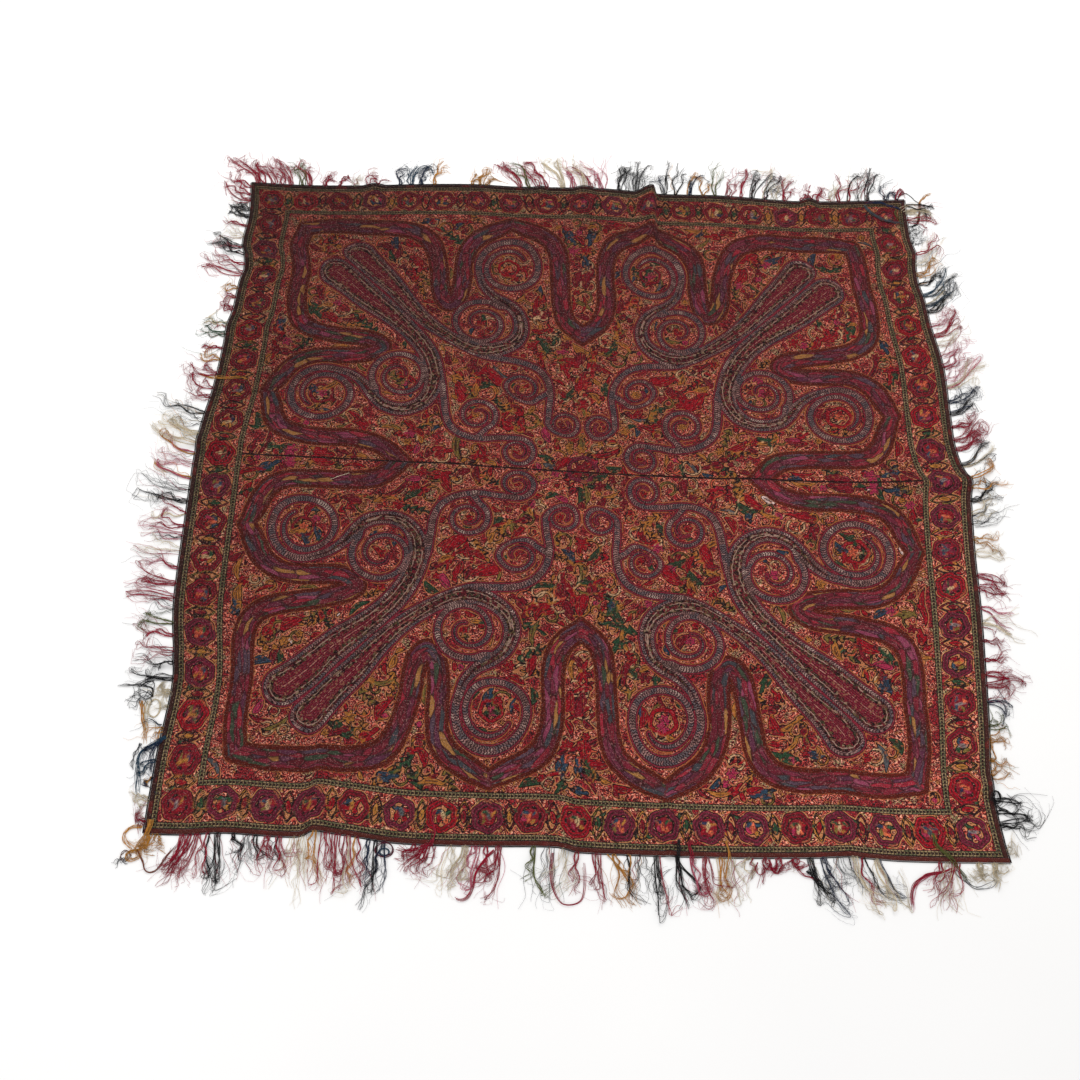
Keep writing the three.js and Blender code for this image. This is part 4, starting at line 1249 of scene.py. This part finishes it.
# How each kind of wool lies: strands and how far apart, yarns and hairs in each, their radius, and
# the share of strands that turn back in a loop.
HABITS = {
    "twisted": (2, 0.0065, 4, 3, 0.0009, 0.25),
    "spread": (4, 0.0115, 2, 2, 0.00085, 0.35),
    "tangled": (4, 0.008, 2, 4, 0.0008, 0.8),
    "wispy": (5, 0.0125, 1, 2, 0.0005, 0.35),
}
HABIT_OF = {
    "crimson": "twisted spread twisted tangled", "black": "tangled twisted wispy tangled",
    "cream": "spread wispy wispy tangled", "gold": "spread twisted", "navy": "tangled twisted",
    "olive": "spread twisted", "pink": "spread twisted wispy", "grey": "tangled wispy",
    "teal": "twisted tangled", "green": "spread twisted",
}


PLAN_POINTS = 40  # along the middle of a lock
LOOPED_STEP, STRAIGHT_STEP = 0.0062, 0.0085  # between the points of a thread
OWN_DYE = 0.86  # share of a lock's strands in its own dye


def lay_lock(threads, pick, plan, root_height, dyes, own):
    """Yarns of one lock: close at the root, then spread, waved, looped and frayed."""
    strands, apart, yarns, hairs, thickness, loops = HABITS[pick.choice(HABIT_OF[dyes[own]].split())]
    length = np.linalg.norm(np.diff(plan, axis=0), axis=1).sum()
    middle = smooth_plan(plan, PLAN_POINTS)
    ahead = np.gradient(middle, axis=0)
    ahead /= np.linalg.norm(ahead, axis=1, keepdims=True) + 1e-9
    count = max(9, int(length / (LOOPED_STEP if loops > 0.5 else STRAIGHT_STEP)))
    q = np.linspace(0, 1, count)

    def spin(way, offset, radius, layer, humps, dye):
        """One thread, from how far out it is and how far aside at each of its points."""
        x, y, dx, dy = (np.interp(way, np.linspace(0, 1, PLAN_POINTS), column)
                        for column in (middle[:, 0], middle[:, 1], ahead[:, 0], ahead[:, 1]))
        more = np.maximum(0, way - 1) * length
        rest = LOCK_CLEAR + radius + layer
        z = (root_height + 0.0003) * (1 - ease(SINK * way)) + rest + humps
        shade_by = pick.uniform(0.72, 1.18)
        colour = tuple(c * shade_by for c in dyed(dye))
        line = np.column_stack([x + dx * more - dy * offset, y + dy * more + dx * offset, z])
        threads.spin(line, radius, colour)

    def wave(size, least, most):
        turns, phase = pick.uniform(least, most), pick.uniform(0, 2 * math.pi)
        return pick.uniform(0.4, 1) * size * (np.sin(2 * math.pi * turns * q + phase) - math.sin(phase))

    for strand in range(strands):
        place = (strand + 0.5) / strands - 0.5
        spread = (place * 0.026 + pick.normal(0, 0.012)) * q ** 1.5
        aim = place * apart * 2 + spread + wave(0.013, 0.7, 2.4) * q ** 0.8
        reach = pick.uniform(0.5, 1.03)
        way = reach * q
        if pick.uniform() < loops:
            way = reach * np.sin(q * pick.uniform(2.0, 2.7))
            aim = aim + pick.choice([-1, 1]) * pick.uniform(0.008, 0.022) * q ** 2.2
        dye = dyes[own] if pick.uniform() < OWN_DYE else dyes[pick.randint(len(dyes))]
        turns = pick.uniform(1.5, 4)
        humps = pick.uniform(0, 0.005) * np.sin(math.pi * np.minimum(1, q * 1.05)) ** 2
        curl = pick.uniform(0.004, 0.011) * (pick.uniform() < loops) * q
        turning = 2 * math.pi * pick.uniform(1.0, 2.6) * q ** 1.3 * pick.choice([-1, 1])
        for yarn in range(yarns + hairs):
            fine = yarn >= yarns
            fray = pick.normal(0, 0.02 if fine else 0.008) * np.maximum(0, q - 0.4) ** 1.3 * 2
            twist = 2 * math.pi * (turns * q + yarn / yarns)
            waved = wave(0.005 if fine else 0.0013, 1.5, 5) * q ** 0.6
            bundle = 0.0011 * np.cos(twist) * (1 + 2.5 * q ** 3) + waved
            size = curl * pick.uniform(0.7, 1.3)
            least, most = (0.75, 1.04) if fine else (0.88, 1.0)
            out = way * pick.uniform(least, most) + size * (np.cos(turning) - 1) / length
            radius = pick.uniform(0.00022, 0.00036) if fine else thickness * pick.uniform(0.75, 1.1)
            layer = 0.001 * (1 + np.sin(twist)) * (1 - 0.6 * q)
            spin(out, aim + bundle + fray + size * np.sin(turning), radius, layer, humps, dye)
    for stray in range(2):
        aim = pick.normal(0, 0.028) * q + wave(0.006, 1, 3)
        spin(q * pick.uniform(0.6, 1.04), aim, pick.uniform(0.0004, 0.0006), 0.002 * q, 0 * q,
             dyes[pick.randint(len(dyes))])


HEADING_CORDS = [(0.0011, 0.0012, 0.0011), (0.0012, 0.0022, 0.0009)]  # height, out, radius
KNOT, KNOT_YARN = 0.0022, 0.0009


def fringe(side, k, pick):
    """One side's heading and all its locks, of which the first is lock k + 1."""
    threads = Threads()
    place = SIDES[side][0]
    stations = np.linspace(-HALF, HALF, 330)
    for height, out, radius in HEADING_CORDS:
        s, t = place(stations, np.full(len(stations), HALF + SEAM + out))
        heading = lie(np.asarray(s, float), np.asarray(t, float))
        heading[:, 2] += height + 0.0002 * np.sin(stations * 1400)
        threads.spin(heading, radius, dyed("black"))
    for row in FRINGE_ROWS[side]:
        dyes = row[-1].split()
        for i in range(row[2]):
            k += 1
            plan, height = lock_line(side, row, i, k)
            own = min(len(dyes) - 1, int(i * len(dyes) / row[2]))
            lay_lock(threads, pick, plan, height, dyes, own)
            # The knot that ties the lock to the heading.
            turn = np.linspace(0, 2 * math.pi, 9)
            loop = np.stack([plan[0][0] + KNOT * np.cos(turn), plan[0][1] + KNOT * np.sin(turn),
                             height + 0.0016 + 0.0006 * np.sin(turn)], 1)
            threads.spin(loop, KNOT_YARN, dyed(dyes[own]))
    piece = threads.gather(f"fringe_{side}_threads")
    finish_piece(piece, spun, f"fringe_{side}")
    return piece, k


fringe_pieces = {}
number = 0
for side in SIDES:
    fringe_pieces[side], number = fringe(side, number, np.random.RandomState(20 + len(fringe_pieces)))

# ---- Strays ----
# Locks and single threads that have fallen back over the cloth or slipped along its edge: a gold
# tassel over one corner, a white loop, and crimson, navy and olive ends over the borders.
def over_edge(points, count):
    """A line through plan points, on the cloth where there is cloth and on the floor beyond it."""
    plan = smooth_plan(np.array(points, float), count)
    flat = plan.copy()
    for _ in range(4):
        flat += plan - lie(flat[:, 0], flat[:, 1])[:, :2]
    inner = np.clip(flat, -HALF, HALF)
    beyond = np.linalg.norm(flat - inner, axis=1)
    lifted = EDGING_HEIGHT + 0.0006 + lie(inner[:, 0], inner[:, 1])[:, 2]
    return np.column_stack([plan, lifted * (1 - ease(beyond / 0.014)) + 0.0012])


def circle(x, y, across, high, start, turns):
    """Plan points round an oval loop."""
    angles = np.radians(start + np.linspace(0, 360 * turns, max(6, int(10 * abs(turns)))))
    return [(x + across * math.cos(a), y + high * math.sin(a)) for a in angles]


STRAYS = [
    # dye, threads, how far apart, waviness, plan points
    # The gold tassel over the near left corner, its loops and one long brown bow.
    ("gold", 9, 0.016, 0.003, [
        (-0.9, -0.885), (-0.903, -0.915), (-0.912, -0.94), (-0.921, -0.958), (-0.924, -0.974)]),
    ("gold", 5, 0.008, 0.003, [
        (-0.915, -0.9), (-0.94, -0.903), (-0.951, -0.918), (-0.945, -0.935), (-0.93, -0.948),
        (-0.918, -0.957)]),
    ("gold", 5, 0.009, 0.004, circle(-0.925, -0.962, 0.014, 0.01, 60, 1.3)),
    ("brown", 2, 0.004, 0.003, circle(-0.941, -0.963, 0.012, 0.009, 0, 1.1)),
    ("grey", 4, 0.012, 0.006, [(-0.935, -0.972), (-0.955, -0.975), (-0.968, -0.986)]),
    ("gold", 3, 0.008, 0.003, [
        (-0.918, -0.942), (-0.9, -0.951), (-0.885, -0.951), (-0.874, -0.942)]),
    ("brown", 4, 0.003, 0.001, [
        (-0.918, -0.95), (-0.903, -0.975), (-0.897, -0.99), (-0.886, -0.997), (-0.872, -0.992),
        (-0.86, -0.975), (-0.85, -0.956), (-0.838, -0.94), (-0.832, -0.928)]),
    # Along the left edge: black curls, a white loop, tan and teal locks.
    ("black", 5, 0.005, 0.003, [
        (-0.943, -0.606), (-0.947, -0.585), (-0.965, -0.579), (-1.0, -0.578), (-1.03, -0.581)]),
    ("black", 3, 0.008, 0.005, [
        (-0.943, -0.606), (-0.96, -0.592), (-0.98, -0.598), (-0.996, -0.612)]),
    ("black", 2, 0.003, 0.002, [
        (-0.972, -0.58), (-0.962, -0.57), (-0.95, -0.566), (-0.943, -0.577), (-0.944, -0.6)]),
    ("grey", 7, 0.03, 0.012, [(-0.943, -0.606), (-0.965, -0.61), (-0.985, -0.617), (-1.0, -0.63)]),
    ("cream", 5, 0.004, 0.001, circle(-0.934, -0.632, 0.0135, 0.021, 235, 1.2)),
    ("cream", 1, 0, 0.001, [(-0.935, -0.657), (-0.925, -0.67), (-0.924, -0.686), (-0.93, -0.7)]),
    ("gold", 6, 0.01, 0.003, [
        (-0.966, -0.615), (-0.96, -0.64), (-0.953, -0.66), (-0.945, -0.685), (-0.942, -0.72)]),
    ("cream", 4, 0.009, 0.003, [
        (-0.955, -0.615), (-0.953, -0.64), (-0.947, -0.665), (-0.944, -0.7)]),
    ("teal", 8, 0.009, 0.003, [
        (-0.897, -0.698), (-0.915, -0.711), (-0.932, -0.722), (-0.946, -0.736), (-0.95, -0.755),
        (-0.947, -0.775), (-0.943, -0.8), (-0.94, -0.825), (-0.933, -0.836)]),
    ("navy", 6, 0.009, 0.004, [
        (-0.905, -0.705), (-0.918, -0.722), (-0.921, -0.745), (-0.919, -0.765), (-0.915, -0.79)]),
    ("grey", 4, 0.006, 0.003, [
        (-0.95, -0.715), (-0.959, -0.74), (-0.962, -0.76), (-0.953, -0.779)]),
    ("gold", 5, 0.007, 0.003, [(-0.965, 0.28), (-0.935, 0.268), (-0.89, 0.268), (-0.84, 0.272)]),
    # A short white thread on the field.
    ("cream", 2, 0.0015, 0.0005, [
        (-0.597, -0.027), (-0.582, -0.021), (-0.567, -0.014), (-0.547, -0.006)]),
    # Over and under the near edge: curls, hanging bows and a lock that crosses the border.
    ("purple", 5, 0.004, 0.001, circle(-0.393, -0.937, 0.019, 0.015, 150, 1.2)),
    ("teal", 4, 0.004, 0.001, circle(-0.392, -0.942, 0.01, 0.008, 200, 1.2)),
    ("crimson", 5, 0.006, 0.003, [
        (-0.29, -0.848), (-0.293, -0.87), (-0.288, -0.895), (-0.292, -0.92), (-0.31, -0.936),
        (-0.33, -0.952), (-0.35, -0.97), (-0.36, -0.986)]),
    ("crimson", 6, 0.01, 0.004, [
        (-0.298, -0.924), (-0.325, -0.934), (-0.348, -0.94), (-0.37, -0.93)]),
    ("claret", 2, 0.002, 0.001, circle(-0.308, -0.95, 0.0095, 0.009, 90, 1.1)),
    ("crimson", 7, 0.005, 0.002, [
        (-0.158, -0.932), (-0.18, -0.955), (-0.195, -0.985), (-0.2, -1.01), (-0.213, -1.035),
        (-0.23, -1.038), (-0.243, -1.025)]),
    ("crimson", 3, 0.006, 0.002, [
        (-0.033, -0.935), (-0.035, -0.97), (-0.03, -1.01), (-0.012, -1.04), (0.012, -1.042),
        (0.03, -1.03), (0.036, -0.99), (0.034, -0.95)]),
    ("gold", 4, 0.004, 0.002, [
        (0.085, -0.935), (0.103, -0.955), (0.12, -0.975), (0.132, -1.0), (0.126, -1.02),
        (0.11, -1.028), (0.094, -1.02), (0.088, -1.0)]),
    ("black", 7, 0.006, 0.004, [
        (0.24, -0.9), (0.238, -0.925), (0.235, -0.945), (0.24, -0.98), (0.246, -1.015),
        (0.258, -1.05)]),
    ("black", 5, 0.004, 0.002, [
        (0.232, -0.935), (0.25, -0.965), (0.27, -0.985), (0.281, -1.0), (0.27, -1.016),
        (0.254, -1.01)]),
    ("crimson", 6, 0.008, 0.003, [(0.265, -0.9), (0.262, -0.92), (0.27, -0.943), (0.287, -0.946)]),
    ("gold", 5, 0.005, 0.002, [
        (0.34, -0.9), (0.346, -0.93), (0.34, -0.96), (0.336, -0.985), (0.345, -1.0),
        (0.34, -1.02), (0.325, -1.026), (0.314, -1.01), (0.32, -0.985)]),
    ("crimson", 3, 0.003, 0.002, circle(0.411, -0.957, 0.009, 0.014, 120, 0.9)),
    ("crimson", 4, 0.004, 0.003, [
        (0.43, -0.938), (0.438, -0.96), (0.45, -0.966), (0.46, -0.95), (0.474, -0.936)]),
    ("crimson", 5, 0.006, 0.003, [
        (0.48, -0.936), (0.492, -0.955), (0.505, -0.97), (0.525, -0.977), (0.54, -0.985)]),
    ("black", 7, 0.012, 0.005, [
        (0.51, -0.96), (0.528, -0.978), (0.54, -0.995), (0.556, -1.014), (0.575, -1.028)]),
    ("olive", 8, 0.008, 0.003, [
        (0.79, -0.873), (0.794, -0.895), (0.81, -0.915), (0.826, -0.93), (0.836, -0.945),
        (0.85, -0.968), (0.868, -0.976)]),
    ("crimson", 8, 0.006, 0.002, [
        (0.82, -0.948), (0.79, -0.958), (0.762, -0.964), (0.742, -0.98), (0.73, -1.0),
        (0.726, -1.035)]),
    ("pink", 4, 0.006, 0.003, [
        (0.79, -0.958), (0.765, -0.966), (0.745, -0.982), (0.733, -1.005), (0.728, -1.045)]),
    ("grey", 3, 0.01, 0.006, [
        (0.83, -0.95), (0.845, -0.972), (0.87, -0.985), (0.895, -0.985), (0.915, -0.965)]),
    # Round the two right corners: black bows, and a navy lock folded over the far corner.
    ("black", 5, 0.005, 0.002, [
        (0.93, -0.79), (0.94, -0.81), (0.96, -0.82), (0.978, -0.838), (0.975, -0.85),
        (0.96, -0.857), (0.936, -0.86)]),
    ("black", 5, 0.008, 0.004, circle(0.94, -0.79, 0.01, 0.014, 0, 1.4)),
    ("navy", 7, 0.008, 0.002, [
        (0.918, 0.9), (0.89, 0.91), (0.865, 0.92), (0.84, 0.921), (0.81, 0.917)]),
    ("slate", 8, 0.008, 0.002, [
        (0.818, 0.91), (0.833, 0.886), (0.85, 0.87), (0.872, 0.856), (0.9, 0.85), (0.925, 0.846)]),
    ("olive", 4, 0.006, 0.002, [(0.906, 0.9), (0.903, 0.88), (0.909, 0.862), (0.916, 0.848)]),
    ("black", 6, 0.005, 0.002, [(0.935, 0.835), (0.955, 0.844), (0.965, 0.858), (0.97, 0.88)]),
    ("brown", 7, 0.007, 0.002, [(0.962, 0.85), (0.97, 0.88), (0.976, 0.91), (0.977, 0.94)]),
    ("gold", 5, 0.005, 0.003, [(0.975, 0.922), (0.984, 0.94), (1.0, 0.955), (1.02, 0.967)]),
    ("black", 2, 0.003, 0.001, [
        (0.913, 0.933), (0.924, 0.951), (0.94, 0.961), (0.955, 0.95), (0.967, 0.933),
        (0.985, 0.92), (0.991, 0.904), (0.986, 0.88), (0.976, 0.85)]),
    ("cream", 6, 0.05, 0.004, [(0.925, 0.89), (0.94, 0.9), (0.958, 0.905), (0.97, 0.9)]),
]
STRAY_STEP = 0.0045
strays = Threads()
pick = np.random.RandomState(31)
for dye, count, apart, waviness, points in STRAYS:
    reach = np.linalg.norm(np.diff(np.array(points), axis=0), axis=1).sum()
    for thread in range(count):
        line = over_edge(points, max(10, int(reach / STRAY_STEP)))
        q = np.linspace(0, 1, len(line))
        ahead = np.gradient(line[:, :2], axis=0)
        ahead /= np.linalg.norm(ahead, axis=1, keepdims=True)
        across = np.stack([-ahead[:, 1], ahead[:, 0]], 1)
        turns, phase = pick.uniform(0.8, 3), pick.uniform(0, 6)
        offset = apart * ((thread + 0.5) / count - 0.5) * (0.6 + 0.6 * q)
        offset = offset + waviness * pick.uniform(0.3, 1) * np.sin(6.3 * turns * q + phase)
        line[:, :2] += across * offset[:, None]
        line[:, 2] += 0.0007 * (thread % 3) + 0.0015 * pick.uniform() * np.sin(math.pi * q)
        keep = max(4, int(len(line) * pick.uniform(0.85, 1)))
        shade_by = pick.uniform(0.75, 1.15)
        strays.spin(line[:keep], pick.uniform(0.0006, 0.00105), tuple(c * shade_by for c in dyed(dye)))
stray_threads = strays.gather("stray_threads")
stray_threads.data.materials.append(spun)
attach(stray_threads, "root")

# ---- Border pieces ----
# A loop over the border pieces that leaves them as they are.
for name, piece in border_pieces.items():
    name in ("north", "south")

# ---- Floor, light and camera ----
# A plain pale floor, soft light from above and behind, and a camera that looks down on the cloth.
bpy.ops.mesh.primitive_plane_add(size=14, location=(0, 0, 0))
floor = bpy.context.object
floor.name = "floor"
floor.location.z = -0.0002
paper = Wool("floor paint", 0.9, 0)
smudge = paper.noise(paper.node("ShaderNodeTexCoord", {}, {}, "Object"), 1.5, 2)
pale = paper.blend(smudge, (0.86, 0.86, 0.865), (0.9, 0.9, 0.9))
floor.data.materials.append(paper.finished(pale, smudge, 0.0002))
bpy.ops.object.select_all(action="DESELECT")

world = bpy.context.scene.world or bpy.data.worlds.new("studio")
bpy.context.scene.world = world
world.use_nodes = True
world.node_tree.nodes["Background"].inputs[0].default_value = (1.0, 0.99, 0.98, 1.0)
world.node_tree.nodes["Background"].inputs[1].default_value = 0.8
LIGHT_SIZE = 2.4
for name, spot, power, colour in (
    ("ceiling_light", (0.4, 2.6, 3.6), 92, (1.0, 0.99, 0.97)),
    ("side_light", (-3.0, -2.2, 3.6), 40, (0.98, 0.99, 1.0)),
):
    bpy.ops.object.light_add(type="AREA", location=spot)
    light = bpy.context.object
    light.name = name
    light.data.size = LIGHT_SIZE
    light.data.energy = power
    light.data.color = colour
    light.rotation_euler = (-Vector(spot)).to_track_quat("-Z", "Y").to_euler()
bpy.context.scene.view_settings.view_transform = "Standard"

CAMERA_SPOT = Vector((-0.0855, -1.5805, 2.6832))
AZIMUTH, ELEVATION, ROLL = (math.radians(angle) for angle in (0.42, 62.43, 1.83))
ahead = Vector((math.sin(AZIMUTH) * math.cos(ELEVATION), math.cos(AZIMUTH) * math.cos(ELEVATION),
                -math.sin(ELEVATION)))
level = Vector((math.cos(AZIMUTH), -math.sin(AZIMUTH), 0))
upright = level.cross(ahead)
right = level * math.cos(ROLL) + upright * math.sin(ROLL)
up = right.cross(ahead)
bpy.ops.object.camera_add(location=CAMERA_SPOT)
camera = bpy.context.object
camera.rotation_euler = Matrix((right, up, -ahead)).transposed().to_euler()
camera.data.lens = 41.67
camera.data.sensor_width = 36
bpy.context.scene.camera = camera
